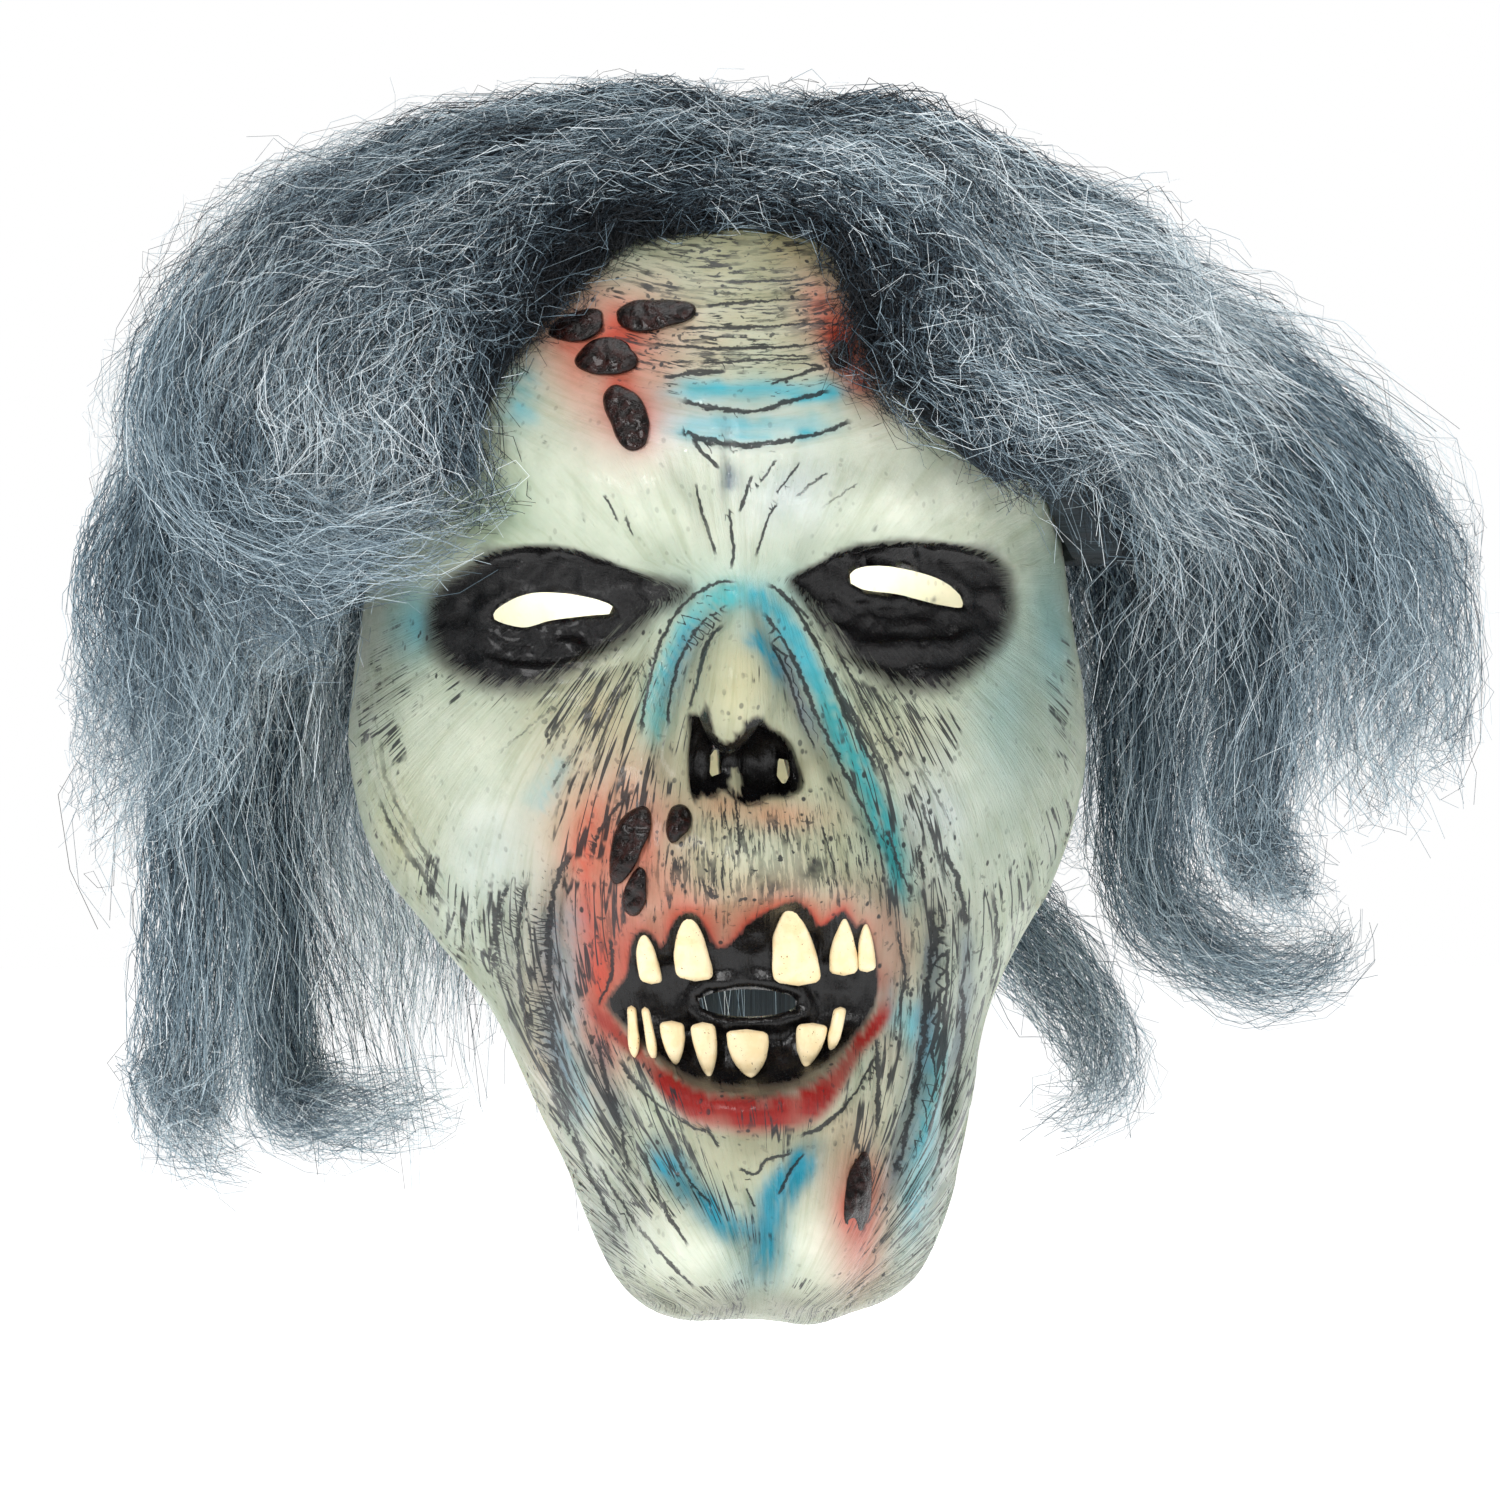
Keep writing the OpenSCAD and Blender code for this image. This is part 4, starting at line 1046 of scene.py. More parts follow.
# ---- Teeth: x, root height, tip height, width at the root, width at the tip, lean ----
UPPER_TEETH = [(-24.5, -85, -97, 4.2, 5.6, 2.4), (-13.6, -80.5, -96.2, 6, 9.3, 2.2),
               (11.6, -78.5, -97.5, 7.6, 11.9, 2.8), (25.3, -81, -95, 3.6, 7.2, 0.3),
               (30.9, -82.5, -94.2, 2.8, 4.4, 0.7)]
LOWER_TEETH = [(-26.6, -114.8, -102.5, 3.4, 2.4, -0.8), (-22, -115.5, -102.8, 3, 2.2, -2.3),
               (-16.5, -116.5, -106.2, 3.6, 6.2, -1.1), (-8.4, -119.5, -106.4, 3.8, 6.2, -1.6),
               (2, -119.5, -108.2, 6.4, 10.6, -1), (16.2, -117, -106.6, 4.4, 7.6, 1.8),
               (22.6, -113, -102.8, 3.4, 3.2, 2.4)]
TOOTH_INSET, ARCH_TURN = 4.5, 24
TOOTH_SIDES, TOOTH_RINGS = 28, 25


def tube(rings):
    """Faces of a closed skin through rings of points, and the points with the two end middles."""
    rings = np.array(rings)
    count, n = rings.shape[:2]
    i = np.arange(n)
    faces = []
    for k in range(count - 1):
        a, b = k * n + i, k * n + (i + 1) % n
        faces += np.stack([a, b, b + n, a + n], -1).tolist()
    top, end = count * n, count * n + 1
    faces += np.stack([np.full(n, top), (i + 1) % n, i], -1).tolist()
    last = (count - 1) * n
    faces += np.stack([np.full(n, end), last + i, last + (i + 1) % n], -1).tolist()
    points = np.vstack([rings.reshape(-1, 3), rings[0].mean(0), rings[-1].mean(0)])
    return points, faces


def make_tooth(name, tooth, up, seed, material):
    """A tooth with a narrow rounded root and a broad blunt tip."""
    x, root, tip, root_w, tip_w, lean = tooth
    y = face_y(np.array(x), np.array(-100.0)) - TOOTH_INSET + 0.5 * max(-x - ARCH_TURN, 0)
    a = np.arange(TOOTH_SIDES) / TOOTH_SIDES * 2 * np.pi
    c, s = np.cos(a), np.sin(a)
    tilt = 0.05 * np.random.default_rng(seed).normal()
    rings = []
    for t in np.linspace(0, 1, TOOTH_RINGS):
        round_root = max(1 - (1 - min(t / 0.42, 1)) ** 1.9, 0.0) ** 0.62
        blunt_tip = math.sqrt(max(1 - max((t - 0.84) / 0.16, 0) ** 3, 0.0))
        width = root_w + (tip_w - root_w) * float(smooth(t, 0.0, 0.8))
        half = max(0.5 * width * round_root * blunt_tip, 0.04)
        thick = max(2.3 * round_root * blunt_tip * (1 - 0.25 * t), 0.04)
        bumpy = 1 + 0.04 * noise(a * 1.9 + seed, np.full(TOOTH_SIDES, t * 5), seed)
        px = lean * (t - 0.1) + half * np.sign(c) * np.abs(c) ** 0.8 * bumpy
        pz = root + up * 0.8 + (tip - root - up * 0.8) * t + tilt * px * smooth(t, 0.5, 1)
        spot = np.array(x + lean * t), np.array(pz.mean())
        gum = float(face_y(*spot) - deep(*spot)) + 0.5
        py = min(y - 0.4, gum) - 0.8 * math.sin(math.pi * t) + thick * np.sign(s) * np.abs(s) ** 0.8 * bumpy
        rings.append(np.stack([x + px, py, pz], -1))
    if up > 0:
        rings = rings[::-1]
    points, faces = tube(rings)
    obj = make_mesh(name + "_enamel", points, faces)
    obj.data.materials.append(material)
    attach(obj, BODY)
    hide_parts(name)


def make_teeth():
    material = tooth_material()
    for row, teeth, up, seed in (("upper", UPPER_TEETH, 1, 40), ("lower", LOWER_TEETH, -1, 60)):
        for k, tooth in enumerate(teeth):
            make_tooth(f"{row}_tooth_{k + 1}", tooth, up, seed + k, material)


# ---- Scabs: x, z, half length, half width, turn ----
SCABS = {
    "forehead_scab_1": (-40, 69, 7.5, 3.6, 18), "forehead_scab_2": (-21, 71.5, 9.4, 4.6, 4),
    "forehead_scab_3": (-33, 60.5, 8.2, 4.6, 4), "forehead_scab_4": (-28.5, 45, 8.2, 5.4, 105),
    "hairline_scab": (25.5, 61, 4.4, 2.4, 80), "cheek_scab_1": (-28.5, -61.5, 9.5, 4.2, 65),
    "cheek_scab_2": (-16.5, -56.5, 5, 2.8, 80), "cheek_scab_3": (-27, -74, 6, 2.8, 75),
    "chin_scab": (28.5, -152.5, 13.5, 3.8, 88),
}


def make_scab(name, scab, seed, material):
    """A low lumpy crust with a soft ragged outline, sunk a little into the skin."""
    x, z, long, wide, turn = scab
    rings, sides = 20, 64
    a = np.arange(sides) / sides * 2 * np.pi
    edge = 1 + 0.10 * np.sin(2 * a + seed) + 0.07 * np.sin(3 * a + 0.7 * seed)
    edge = edge + 0.05 * noise(2 * np.cos(a) + 5, 2 * np.sin(a) + seed, seed)
    c, s = math.cos(math.radians(turn)), math.sin(math.radians(turn))
    layers = []
    for r in np.linspace(1, 1 / rings, rings):
        p, q = long * r * edge * np.cos(a), wide * r * edge * np.sin(a)
        px, pz = x + p * c - q * s, z + p * s + q * c
        lump = 0.45 * noise(px / 1.7, pz / 1.7, seed) + 0.7 * noise(px / 3.4, pz / 3.4, seed + 1)
        high = 0.5 + 2.0 * np.sqrt(max(1 - r**3, 0)) + lump * (1 - r**4)
        layers.append(np.stack([px, face_y(px, pz) - 0.9 * deep(px, pz) - high, pz], -1))
    foot = layers[0] + np.array([0, 2.2, 0])
    points, faces = tube([foot] + layers)
    obj = make_mesh(name + "_crust", points, faces)
    obj.data.materials.append(material)
    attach(obj, BODY)
    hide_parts(name)


def make_scabs():
    material = scab_material()
    for k, (name, scab) in enumerate(SCABS.items()):
        make_scab(name, scab, 80 + 3 * k, material)


# ---- Hair, in the same coordinates as the CAD wefts ----
SIDE_NAME = {-1: "left", 1: "right"}
THICK = {-1: [(0, 17), (30, 30), (60, 54), (90, 54), (115, 76), (130, 76), (142, 70)],
         1: [(0, 17), (30, 26), (60, 49), (75, 68), (90, 90), (104, 101), (114, 88), (135, 64)]}
THICK_SHARE = [(0, 0.5), (0.25, 0.95), (0.45, 1), (0.7, 0.75), (1, 0.45)]
END = {-1: [(0, 98), (0.25, 124), (0.5, 136), (0.75, 134), (1, 146)],
       1: [(0, 92), (0.25, 108), (0.5, 114), (0.75, 122), (1, 146)]}
SWEEP = {-1: [(0, 0), (17, 0), (29, 5), (42, 11), (68, 13), (81, 14), (95, 0), (120, -8)],
         1: [(0, 0), (13, 0), (25, 26), (44, 36), (61, 34), (74, 20), (84, 4), (100, -8)]}
SWEEP_END = 0.4
HAIR_Z = 15
HAIR_SIDE, HAIR_FRONT, HAIR_BACK, HAIR_TOP = 99, 97, 103, 100.5
FIRST_ROOT_Y, LAST_ROOT_Y = -52, 26
LEVEL_LEAN = 112
LEVEL_RATE = [(0, 0.9), (0.75, 0.9), (1, 0.3)]
WEFTS = 6
# Gap between the skin and the lowest strands
SKIN_GAP = 1.2
# The parting lies to the right of the middle: angles between which the strands of each side start
PARTING = {-1: (-9, -1), 1: (2, 9)}
# Tones of the strands from shade to light
TONES = [(10, 16, 22), (32, 42, 51), (60, 76, 88), (100, 120, 132), (147, 166, 177), (194, 211, 219),
         (236, 245, 249)]


def root_y(q):
    return FIRST_ROOT_Y + (LAST_ROOT_Y - FIRST_ROOT_Y) * np.minimum(q / 0.7, 1)


def hair_ray(side, q, lean):
    swept = along(SWEEP[side], lean) * np.clip(1 - q / SWEEP_END, 0, 1.1)
    heading = np.radians(90 + 90 * np.maximum((q - 0.35) / 0.65, 0) ** 1.3 - swept)
    lean = np.radians(lean)
    out = np.sin(lean)
    return np.stack([side * out * np.sin(heading), -out * np.cos(heading), np.cos(lean)], -1)


def skin_reach(y0, d):
    """Distance from the root line to the skin along each ray, by halving."""
    low, high = np.zeros(d.shape[:-1]), np.full(d.shape[:-1], 180.0)
    for _ in range(16):
        r = (low + high) / 2
        x, y, z = r * d[..., 0], y0 + r * d[..., 1], HAIR_Z + r * d[..., 2]
        size = np.maximum(dome(z), 1e-6)
        across = (x - along(SHIFT, z)) / (along(HALF_W, z) * size)
        depth = np.where(y < 0, along(FRONT, z) * size, along(BACK, z) * np.where(z > BROW_Z, size, 1))
        inside = (across**2 + (y / depth) ** 2 < 1) & (z < CROWN_H)
        low, high = np.where(inside, r, low), np.where(inside, high, r)
    return low


def hair_reach(side, q, lean):
    """Distances from the root line to the hair's inner and outer faces."""
    d = hair_ray(side, q, lean)
    y0 = root_y(q)
    depth = HAIR_BACK + (HAIR_FRONT - HAIR_BACK) * np.maximum(-y0, 0) / -FIRST_ROOT_Y
    a = (d[..., 0] / HAIR_SIDE) ** 2 + (d[..., 1] / depth) ** 2
    a = a + np.where(d[..., 2] > 0, (d[..., 2] / HAIR_TOP) ** 2, 0)
    b = 2 * y0 * d[..., 1] / depth**2
    c = (y0 / depth) ** 2 - 1
    inner = (-b + np.sqrt(b**2 - 4 * a * c)) / (2 * a)
    thick = along(THICK[side], np.maximum(lean, 0)) * along(THICK_SHARE, q)
    close = np.minimum(skin_reach(y0, d) + SKIN_GAP, inner)
    return close + (inner - close) * smooth(lean, 84, 108), inner + thick


Q_STEP, LEAN_STEP, FIRST_Q, FIRST_LEAN = 0.02, 2.0, -0.08, -20.0


def reach_table(side):
    q, lean = np.meshgrid(FIRST_Q + Q_STEP * np.arange(58), FIRST_LEAN + LEAN_STEP * np.arange(92),
                          indexing="ij")
    return np.stack(hair_reach(side, q, lean), -1)


REACH = {side: reach_table(side) for side in (-1, 1)}


def hair_point(side, q, lean, share):
    """Place in the hair: q from the face to the back, lean from the parting in degrees, share outward."""
    reach = REACH[side]
    a = np.clip((q - FIRST_Q) / Q_STEP, 0, reach.shape[0] - 1.01)
    b = np.clip((lean - FIRST_LEAN) / LEAN_STEP, 0, reach.shape[1] - 1.01)
    i, j = a.astype(int), b.astype(int)
    s, t = (a - i)[..., None], (b - j)[..., None]
    low = reach[i, j] * (1 - s) + reach[i + 1, j] * s
    high = reach[i, j + 1] * (1 - s) + reach[i + 1, j + 1] * s
    found = low * (1 - t) + high * t
    r = found[..., 0] + (found[..., 1] - found[..., 0]) * share
    start = np.zeros(r.shape + (3,))
    start[..., 1], start[..., 2] = root_y(q), HAIR_Z
    return start + r[..., None] * hair_ray(side, q, lean)


def end_lean(side, q, share):
    lean = along(END[side], q)
    return lean - along(LEVEL_RATE, q) * np.maximum(lean - LEVEL_LEAN, 0) * (share - 0.5)


def waves(rng, count, steps, length, amount, pitch):
    """Sideways wander of strands, a sum of a few waves with random phases."""
    t = np.linspace(0, 1, steps)[None, :, None]
    total = np.zeros((count, steps, 3))
    for part in (1.0, 0.5):
        rate = length / pitch / part * rng.uniform(0.7, 1.4, (count, 1, 3))
        phase = rng.uniform(0, 2 * np.pi, (count, 1, 3))
        total += part * np.sin(2 * np.pi * rate * t + phase)
    return total * amount


# Strands go this far past the CAD box as they like, and this much more at most, drawn back ever harder
STRAY_ROOM, STRAY_LIMIT, STRAY_EASE = 4, 9, 14


def contain(path):
    """Stray hair is drawn back towards the CAD part's box."""
    low, high = (np.array(corner) / MM + room for corner, room in zip(CAD_BOX, (-STRAY_ROOM, STRAY_ROOM)))
    inside = np.clip(path, low, high)
    return inside + STRAY_LIMIT * np.tanh((path - inside) / STRAY_EASE)


def strand_mesh(name, paths, radius, tones):
    """One closed three-sided tube per path. paths is strands x steps x 3, tones is strands x steps - 1."""
    count, steps, _ = paths.shape
    paths = contain(paths)
    step = unit(np.gradient(paths, axis=1))
    across = unit(np.cross(step, [0.31, 0.87, 0.38]))
    through = np.cross(step, across)
    turn = np.arange(3) / 3 * 2 * np.pi
    ring = (across[:, :, None] * np.cos(turn)[:, None] + through[:, :, None] * np.sin(turn)[:, None])
    points = (paths[:, :, None] + ring * radius[:, :, None, None]).reshape(-1, 3) * MM
    base = (np.arange(count) * steps * 3)[:, None, None]
    level = (np.arange(steps - 1) * 3)[None, :, None]
    side = np.arange(3)[None, None]
    a, b = base + level + side, base + level + (side + 1) % 3
    quads = np.stack([a, b, b + 3, a + 3], -1).reshape(-1, 4)
    start = base[:, 0] + np.array([[2, 1, 0]])
    end = base[:, 0] + (steps - 1) * 3 + np.array([[0, 1, 2]])
    caps = np.vstack([start, end])
    mesh = bpy.data.meshes.new(name)
    mesh.vertices.add(len(points))
    mesh.vertices.foreach_set("co", points.astype(np.float32).ravel())
    loops = np.concatenate([quads.ravel(), caps.ravel()])
    sizes = np.concatenate([np.full(len(quads), 4), np.full(len(caps), 3)])
    mesh.loops.add(len(loops))
    mesh.loops.foreach_set("vertex_index", loops.astype(np.int32))
    mesh.polygons.add(len(sizes))
    mesh.polygons.foreach_set("loop_start", np.concatenate([[0], np.cumsum(sizes)[:-1]]).astype(np.int32))
    slots = np.concatenate([np.repeat(tones.reshape(-1), 3), tones[:, 0], tones[:, -1]])
    mesh.polygons.foreach_set("material_index", slots.astype(np.int32))
    mesh.update(calc_edges=True)
    mesh.shade_smooth()
    return in_scene(name, mesh)


def hair_materials():
    found = []
    for k, tone in enumerate(TONES):
        r = Recipe(f"hair_tone_{k + 1}", 0.45, Specular_IOR_Level=0.35)
        found.append(r.finish(Base_Color=linear(tone)))
    return found


def dress(obj, cad_node, materials):
    for material in materials:
        obj.data.materials.append(material)
    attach(obj, BODY)
    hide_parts(cad_node)


def hair_light(side, q, lean, share):
    """Tone number by place: dark at the crown and light at the sides, with painted shadow on the inner hair
    by the face, painted light towards the outside, and painted light and shade from clump to clump.
    """
    # The share term is painted light and shade: lighter on the outer hair, darker on the inner
    light = 1.6 + 2.3 * smooth(lean, 24, 78) + 1.8 * (share - 0.6) + 0.5 * smooth(lean, 95, 120)
    # Painted shadow on the inner hair at the front, by the face
    hairline_shadow = smooth(-q, -0.22, 0.0) * smooth(-share, -0.7, -0.2) * smooth(-np.abs(lean - 50), -60, -20)
    # Painted light and shade from clump to clump, darker in the gaps between them
    lumps = noise(q * 11 + side * 3, lean / 13, 71) + 1.3 * noise(q * 34, lean / 26 + share * 4, 72)
    return light - 2.4 * hairline_shadow + 1.4 * lumps


def pick_tones(rng, light, own):
    """Tone of each stretch of each strand: its own shade, lighter towards light."""
    count, steps = light.shape
    level = light + rng.normal(0, own, (count, 1)) + rng.normal(0, 0.3, (count, steps))
    return np.clip(np.round(level), 0, len(TONES) - 1).astype(int)


BODY_STRANDS, BODY_STEPS = 1150, 27
LOCKS = 44
FRIZZ_STRANDS, FRIZZ_STEPS = 2100, 15
BODY_SEED, FRIZZ_SEED, CURL_SEED, CROSSING_SEED = 500, 700, 900, 960


def lock_ends(rng, side, t, lock):
    """Locks turn inward or flick outward and up over their last third."""
    s = smooth(t, 0.6, 1.0)[..., None]
    outward = np.where(rng.random(LOCKS) < (0.3 if side < 0 else 0.7), 1.0, -1.0)
    size = rng.uniform(4, 18, LOCKS) * np.where(outward > 0, 0.6, 1.0)
    move = np.stack([side * outward * size, rng.uniform(-6, 6, LOCKS), rng.uniform(0, 14, LOCKS)], -1)
    return s * move[lock][:, None, :] * (0.4 + 0.6 * s)


def warp(path, side, q):
    """Broad waves that neighbouring strands share, out of step from layer to layer."""
    x, z = path[..., 0], path[..., 2]
    a = 7.5 * noise(x / 34 + 4 * q, z / 30 + 3 * side, 63) + 2.4 * noise(x / 13 + 9 * q, z / 12, 64)
    b = 5.0 * noise(x / 34 + 4 * q, z / 30 + 3 * side, 65) + 2.0 * noise(x / 13 + 9 * q, z / 12, 66)
    return np.stack([a, 0.5 * b, b], -1)


def body_paths(rng, side, i):
    """Strands from the parting to the ends, drawn together into locks."""
    n = BODY_STRANDS
    lock = rng.integers(0, LOCKS, n)
    lock_q = ((i + rng.random(LOCKS)) / WEFTS)[lock][:, None]
    lock_share = (0.1 + 0.9 * rng.random(LOCKS))[lock][:, None]
    q0 = ((i + rng.random(n)) / WEFTS)[:, None]
    share0 = (rng.random(n) ** 0.7)[:, None]
    t = np.linspace(0, 1, BODY_STEPS)[None, :]
    gather = rng.uniform(0.15, 0.7, (n, 1)) * t**1.2
    q = q0 * (1 - gather) + lock_q * gather
    share = share0 * (1 - gather) + lock_share * gather
    first = rng.uniform(*PARTING[side], (n, 1))
    back = smooth(q0, 0.5, 0.64)
    low = 0.06 if side < 0 else 0.35 + 0.3 * smooth(-q0, -0.3, -0.12) + 0.35 * smooth(q0, 0.28, 0.42)
    full = low + (1 - low) * back
    reach = np.where(rng.random((n, 1)) > full, rng.uniform(0.44, 0.76 if side < 0 else 0.88, (n, 1)),
                     rng.uniform(0.86, 1.03, (n, 1)) + 0.06 * back)
    lean = first + (end_lean(side, q, share) - first) * t * reach
    wander = 0.10 * noise(q * 9 + 2, lean / 24 + share * 1.5, 61)
    wander = wander + 0.05 * noise(q * 22, lean / 12 + lock_share * 9, 62)
    wander = wander + 0.05 * waves(rng, n, BODY_STEPS, 150, 1.0, 60)[..., 0]
    share = share + wander * smooth(t, 0.02, 0.3)
    share = share * (0.45 + 0.55 * smooth(t, 0, 0.16)) * (0.4 + 0.6 * smooth(q, -0.01, 0.09))
    share = np.clip(share, 0.01, 1.1)
    path = hair_point(side, q, lean, share)
    grow = smooth(t, 0, 0.35)[..., None]
    path = path + waves(rng, n, BODY_STEPS, 150, 1.4, 22) * (0.3 + 0.7 * grow)
    path = path + waves(rng, LOCKS, BODY_STEPS, 150, 2.6, 55)[lock] * grow
    path = path + warp(path, side, q) * grow
    path = path + lock_ends(rng, side, t + np.zeros((n, 1)), lock)
    return path, hair_light(side, q, lean, share), t


def frizz_paths(rng, side, i):
    """Shorter loose strands that cross the others and stand off the outside."""
    n = FRIZZ_STRANDS
    t = np.linspace(0, 1, FRIZZ_STEPS)[None, :]
    q0 = ((i + rng.random(n)) / WEFTS)[:, None]
    share0 = rng.uniform(0.35, 1.02, (n, 1))
    last = end_lean(side, q0, share0) * (0.78 + 0.22 * smooth(q0, 0.5, 0.64))
    first = PARTING[side][0] + rng.random((n, 1)) * (last * 0.92 - PARTING[side][0])
    turn = rng.uniform(14, 46, (n, 1)) * np.where(rng.random((n, 1)) < 0.15, -0.6, 1.0)
    lean = np.clip(first + turn * t, PARTING[side][0] - 3, last + 6)
    q = q0 + rng.normal(0, 0.06, (n, 1)) * t
    share = share0 + rng.normal(0.03, 0.16, (n, 1)) * t
    share = np.clip(share, 0.02, 1.12) * (0.55 + 0.45 * smooth(q, -0.02, 0.08))
    path = hair_point(side, q, lean, share)
    path = path + waves(rng, n, FRIZZ_STEPS, 70, 2.9, 30) * smooth(t, 0, 0.5)[..., None]
    path = path + warp(path, side, q) * smooth(lean, 10, 40)[..., None]
    path = path + waves(rng, n, FRIZZ_STEPS, 70, 0.6, 14)
    stray = rng.random(n) < 0.16
    path[stray] += waves(rng, stray.sum(), FRIZZ_STEPS, 70, 3.6, 60) * t[..., None]
    # Half a tone lighter: painted light on the loose strands that stand off the mass
    return path, hair_light(side, q, lean, share) + 0.5, t


def add_strands(name, cad_node, rng, path, t, size, tone, materials):
    """Tubes along the paths. size: root radius and its least share; tone: light and its spread."""
    radius = size[0] * (1 - 0.5 * t) * rng.uniform(size[1], 1.3, (len(path), 1))
    dress(strand_mesh(name, path, radius, pick_tones(rng, *tone)), cad_node, materials)


def make_weft(side, i, materials):
    name = f"weft_{SIDE_NAME[side]}_{i + 1}"
    for kind, paths, seed, thick in (("strands", body_paths, BODY_SEED, 0.15),
                                     ("frizz", frizz_paths, FRIZZ_SEED, 0.11)):
        rng = np.random.default_rng(seed + 10 * i + (side > 0) * 100)
        path, light, t = paths(rng, side, i)
        add_strands(f"{name}_{kind}", name, rng, path, t, (thick, 0.7), (light[:, :-1], 1.9), materials)


def way_points(text):
    """Points x y z radius along a lock of hair."""
    return np.reshape([float(w) for w in text.split()], (-1, 4))


# Curls: name, side, weft, share of its thickness, first radius, then x, y, z, radius
CURLS = [
    ("curl_left_1", -1, 3, 0.5, 10, way_points("-131 2 -121 10  -135 2 -131 8  -132 1 -141 5"
        " -122 1 -148 2.5")),
    ("curl_left_2", -1, 4, 0.5, 7, way_points("-105 56 -129 8  -97 51 -135 7  -83 46 -136 6"
        " -69 41 -131 3")),
    ("curl_right_1", 1, 3, 0.4, 9, way_points("131 1 -58 8  137 0 -68 6  147 -1 -76 4  158 -2 -78 2")),
    ("curl_right_2", 1, 4, 0.4, 11, way_points("112 56 -72 10  124 50 -90 9  144 42 -100 7  163 36 -97 5"
        " 173 33 -85 2.5")),
    ("curl_right_3", 1, 5, 0.45, 11, way_points("76 94 -80 10  92 82 -102 9  104 70 -121 7  104 62 -134 5"
        " 93 57 -142 2.5")),
]
CURL_STRANDS, CURL_STEPS = 520, 20
# Strands spread wider than the curl's solid, most at its tip
CURL_SPREAD = 1.25
# How far the middle of a curl bows outward
CURL_BOW = 9


def lock_paths(rng, route, n, spread):
    """Strands along a route of x, y, z, radius points, fanning out towards its end."""
    steps = CURL_STEPS
    begin = rng.uniform(0, 0.2, (n, 1))
    reach = rng.uniform(0.5, 1.0, (n, 1))
    t = np.linspace(0, 1, steps)[None, :]
    s = (begin + (reach - begin) * t) * (len(route) - 1)
    k = np.minimum(s.astype(int), len(route) - 2)
    f = (s - k)[..., None]
    spot = route[k] * (1 - f) + route[k + 1] * f
    travel = unit(np.gradient(spot[..., :3], axis=1))
    across = unit(np.cross(travel, [0, 1, 0]))
    through = np.cross(across, travel)
    turn = rng.uniform(0, 2 * np.pi, n)[:, None, None]
    out = rng.random(n)[:, None, None] ** 0.7 * (spot[..., 3:] * spread + 4.0 * t[..., None])
    path = spot[..., :3] + out * (np.cos(turn) * across + np.sin(turn) * through)
    path = path + waves(rng, n, steps, 110, 1.2, 22) + waves(rng, n, steps, 110, 3.8, 60) * t[..., None]
    wild = rng.random(n) < 0.3
    path[wild] += waves(rng, wild.sum(), steps, 110, 4.5, 60) * t[..., None]
    return path, t


def make_curl(curl, seed, materials):
    name, side, weft, share, first, points = curl
    rng = np.random.default_rng(seed)
    q = np.array((weft - 0.5) / WEFTS)
    back = [hair_point(side, q, end_lean(side, q, share) - k, np.array(share)) for k in (34, 20, 7)]
    route = np.vstack([np.array([(*p, first * g) for p, g in zip(back, (0.6, 0.9, 1.1))]), points])
    route[:, 0] += side * CURL_BOW * np.sin(np.linspace(0, np.pi, len(route)))
    path, t = lock_paths(rng, curve_points(route, 6), CURL_STRANDS, CURL_SPREAD)
    light = 3.1 + 0.9 * t[:, :-1] + np.zeros((CURL_STRANDS, 1))
    add_strands(name + "_strands", name, rng, path, t, (0.13, 0.75), (light, 1.0), materials)


# Locks that cross the others on the outside: weft, strands, tone, then x, y, z, radius
CROSSING = [
    ("weft_left_1", 420, 4, way_points("-128 -44 84 8  -140 -42 52 11  -132 -52 26 11  -110 -66 13 9"
        " -88 -76 12 7  -64 -77 17 3")),
    ("weft_left_1", 260, 3.4, way_points("-124 -50 52 8  -124 -56 16 10  -112 -64 -4 8  -102 -66 -12 4")),
    ("weft_left_2", 620, 3.9, way_points("-140 -36 40 10  -150 -32 8 13  -146 -34 -20 14  -148 -30 -44 13"
        " -160 -26 -64 9")),
    ("weft_right_2", 620, 3.8, way_points("132 -40 60 10  160 -34 30 14  174 -30 -4 16  170 -28 -34 16"
        " 178 -24 -58 12")),
]


def make_crossing(k, lock, materials):
    node, n, tone, points = lock
    rng = np.random.default_rng(CROSSING_SEED + k)
    path, t = lock_paths(rng, curve_points(points, 6), n, 1.4)
    light = tone - 0.8 * (1 - t[:, :-1]) + np.zeros((n, 1))
    add_strands(f"{node}_lock_{k + 1}", node, rng, path, t, (0.12, 0.75), (light, 0.9), materials)


def lean_at_level(side, q, level):
    """How far down each column may go before it passes a level."""
    leans = np.linspace(40, 164, 125)
    low = hair_point(side, *np.meshgrid(q, leans), np.full((125, len(q)), 0.1))[..., 2] < level
    return leans[np.where(low.any(0), low.argmax(0), 124)]


# The mat under the strands ends about here
MAT_END_Z = -117


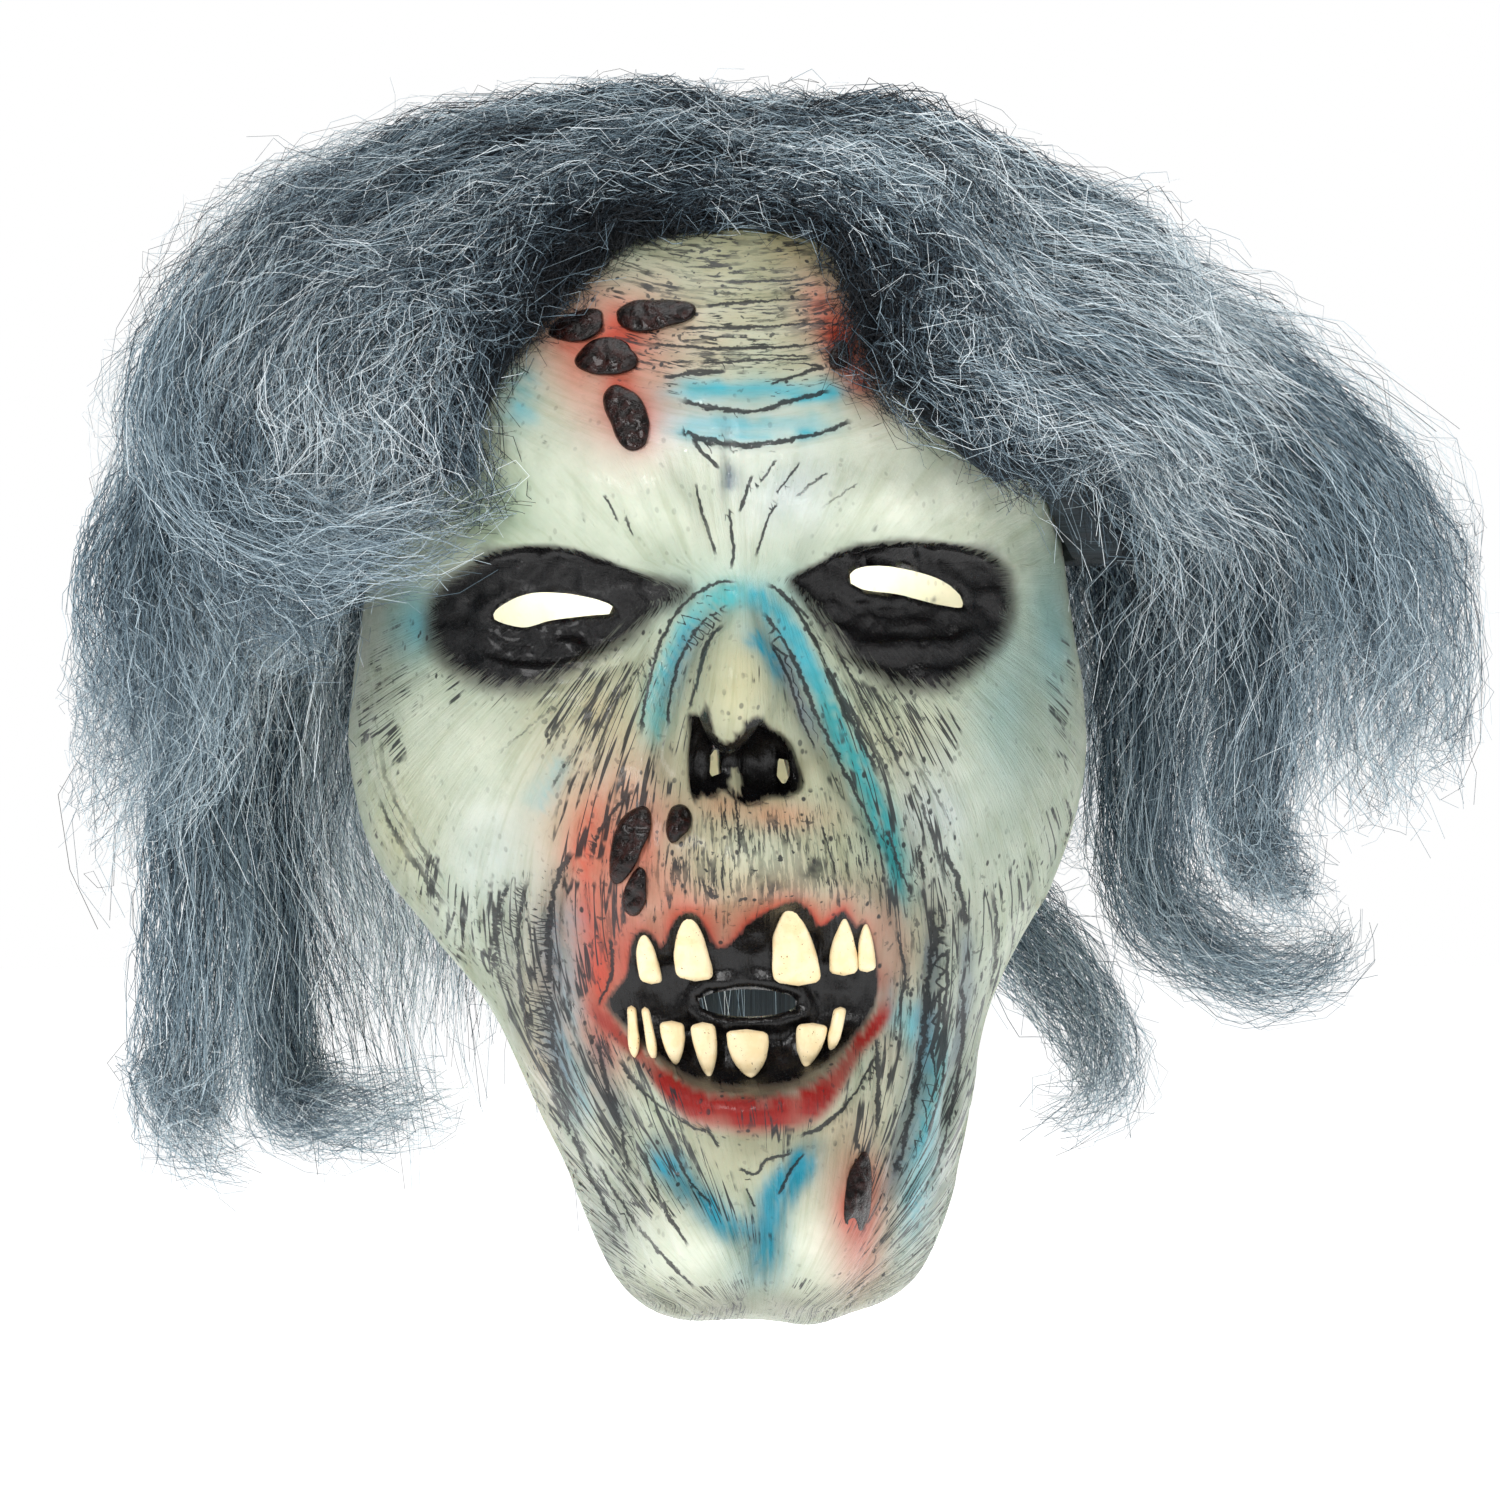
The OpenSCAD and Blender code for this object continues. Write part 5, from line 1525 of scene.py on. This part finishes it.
def make_undercoat(side, material):
    """A ridged mat close to the scalp, so that it doesn't show through the strands of one side."""
    columns, rows = 200, 90
    q, t = np.meshgrid(np.linspace(0.03, 1.0, columns), np.linspace(0, 1, rows))
    flow_q = q * 300
    comb = noise(flow_q / 3.5, t * 3, 91) * 0.5 + noise(flow_q / 9, t * 2 + 4, 92)
    share = (0.14 + 0.08 * comb) * smooth(q, 0.02, 0.12)
    first = PARTING[side][0 if side < 0 else 1] * 0.6
    hang = 78 + 14 * smooth(q, 0.1, 0.25) + 64 * smooth(q, 0.66, 0.84)
    last = np.minimum(end_lean(side, q, 0.05) * (1 + 0.07 * smooth(q, 0.7, 0.9)), hang)
    last = np.minimum(last, lean_at_level(side, q[0], MAT_END_Z + 4 * noise(flow_q[0] / 5, 0 * q[0], 93)))
    lean = first + (last - first) * t
    outer = hair_point(side, q, lean, share + 0.01)
    inner = hair_point(side, q, lean, 0 * share)
    i, j = np.meshgrid(np.arange(columns - 1), np.arange(rows - 1))
    a = (j * columns + i).ravel()
    quads = np.stack([a, a + 1, a + columns + 1, a + columns], -1)
    base = columns * rows
    faces = quads.tolist() + (quads[:, ::-1] + base).tolist()
    edge = np.concatenate([np.arange(columns), np.arange(1, rows) * columns + columns - 1,
                           (rows - 1) * columns + np.arange(columns - 2, -1, -1),
                           np.arange(rows - 2, 0, -1) * columns])
    after = np.roll(edge, -1)
    faces += np.stack([edge, edge + base, after + base, after], -1).tolist()
    if side > 0:
        faces = [f[::-1] for f in faces]
    points = np.vstack([outer.reshape(-1, 3), inner.reshape(-1, 3)])
    obj = make_mesh(f"hair_undercoat_{SIDE_NAME[side]}", points, faces)
    flow = np.stack([flow_q, lean * 1.6, share * 40], -1).reshape(-1, 3)
    attribute(obj, "strand_flow", "FLOAT_VECTOR", np.vstack([flow, flow]))
    obj.data.materials.append(material)
    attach(obj, BODY)


def make_hair():
    materials = hair_materials()
    for side in (-1, 1):
        for i in range(WEFTS):
            make_weft(side, i, materials)
    for k, curl in enumerate(CURLS):
        make_curl(curl, CURL_SEED + k, materials)
    for k, lock in enumerate(CROSSING):
        make_crossing(k, lock, materials)
    undercoat = undercoat_material()
    for side in (-1, 1):
        make_undercoat(side, undercoat)


# ---- Tracks on the scalp ----

def make_tracks():
    for node in ("hair_track_left", "hair_track_right"):
        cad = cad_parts[node]
        cad.data.materials.clear()
        cad.data.materials.append(track_material())
        cad.data.shade_smooth()


# ---- Floor, light and camera ----
FLOOR_HALF, FLOOR_Z = 6000, -300


def make_floor():
    points = [(FLOOR_HALF * x, FLOOR_HALF * y, FLOOR_Z) for x, y in ((-1, -1), (1, -1), (1, 1), (-1, 1))]
    floor = make_mesh("floor", points, [(0, 1, 2, 3)], False)
    r = Recipe("floor_white", 0.9, Emission_Color=(1, 1, 1, 1), Emission_Strength=0.85)
    tone = r.step(r.noise(r.place(), 3, 2, 0.5), 0.3, 0.7)
    floor.data.materials.append(r.finish(Base_Color=r.mix(tone, (0.86, 0.87, 0.88), (0.88, 0.88, 0.88))))


def make_lamp(name, place, aim, size, power, spread=180):
    data = bpy.data.lights.new(name, "AREA")
    data.shape = "RECTANGLE"
    data.size, data.size_y = size
    data.energy = power
    data.spread = math.radians(spread)
    lamp = in_scene(name, data)
    lamp.location = place
    lamp.rotation_euler = (Vector(aim) - Vector(place)).to_track_quat("-Z", "Y").to_euler()


def make_light():
    world = bpy.data.worlds.new("studio")
    bpy.context.scene.world = world
    world.use_nodes = True
    tree = world.node_tree
    sky = tree.nodes["Background"]
    backdrop = tree.nodes.new("ShaderNodeBackground")
    for node, strength in ((sky, 0.24), (backdrop, 1.0)):
        node.inputs["Color"].default_value = (1, 1, 1, 1)
        node.inputs["Strength"].default_value = strength
    rays = tree.nodes.new("ShaderNodeLightPath")
    mixer = tree.nodes.new("ShaderNodeMixShader")
    tree.links.new(rays.outputs["Is Camera Ray"], mixer.inputs[0])
    tree.links.new(sky.outputs[0], mixer.inputs[1])
    tree.links.new(backdrop.outputs[0], mixer.inputs[2])
    tree.links.new(mixer.outputs[0], tree.nodes["World Output"].inputs["Surface"])
    for name, place, size, power in (
            ("key", (-0.9, -1.3, 0.9), (0.5, 0.5), 18), ("spark", (-0.3, -1.5, 0.6), (0.09, 0.09), 3),
            ("fill", (1.2, -1.1, 0.35), (0.7, 1.0), 5), ("top", (0, 0.1, 1.5), (1.2, 1.0), 12),
            ("back_left", (-1.0, 1.3, 0.5), (0.8, 1.0), 9), ("back_right", (1.0, 1.3, 0.5), (0.8, 1.0), 9)):
        make_lamp(name, place, (0, 0, -0.03), size, power)
    # A soft lamp in the hollow lights the lining at the back, which is what the eye holes show
    make_lamp("hollow", (0, -0.01, 0.025), (0, 0.09, 0.03), (0.12, 0.04), 0.085, 62)


def make_camera():
    """The view of the product photograph: level, a little to the left of straight on."""
    aim = Vector((0.0084, 0, -0.0385))
    azimuth, distance_m, width, sensor = math.radians(-4), 1.7, 0.396, 36
    data = bpy.data.cameras.new("camera")
    data.sensor_width = sensor
    data.lens = sensor * distance_m / width
    camera = in_scene("camera", data)
    back = Vector((math.sin(azimuth), -math.cos(azimuth), 0))
    camera.location = aim + back * distance_m
    camera.rotation_euler = (-back).to_track_quat("-Z", "Y").to_euler()
    bpy.context.scene.camera = camera
    bpy.context.scene.view_settings.view_transform = "Standard"


make_camera()
make_light()
make_floor()
make_shell()
make_teeth()
make_scabs()
make_tracks()
make_hair()
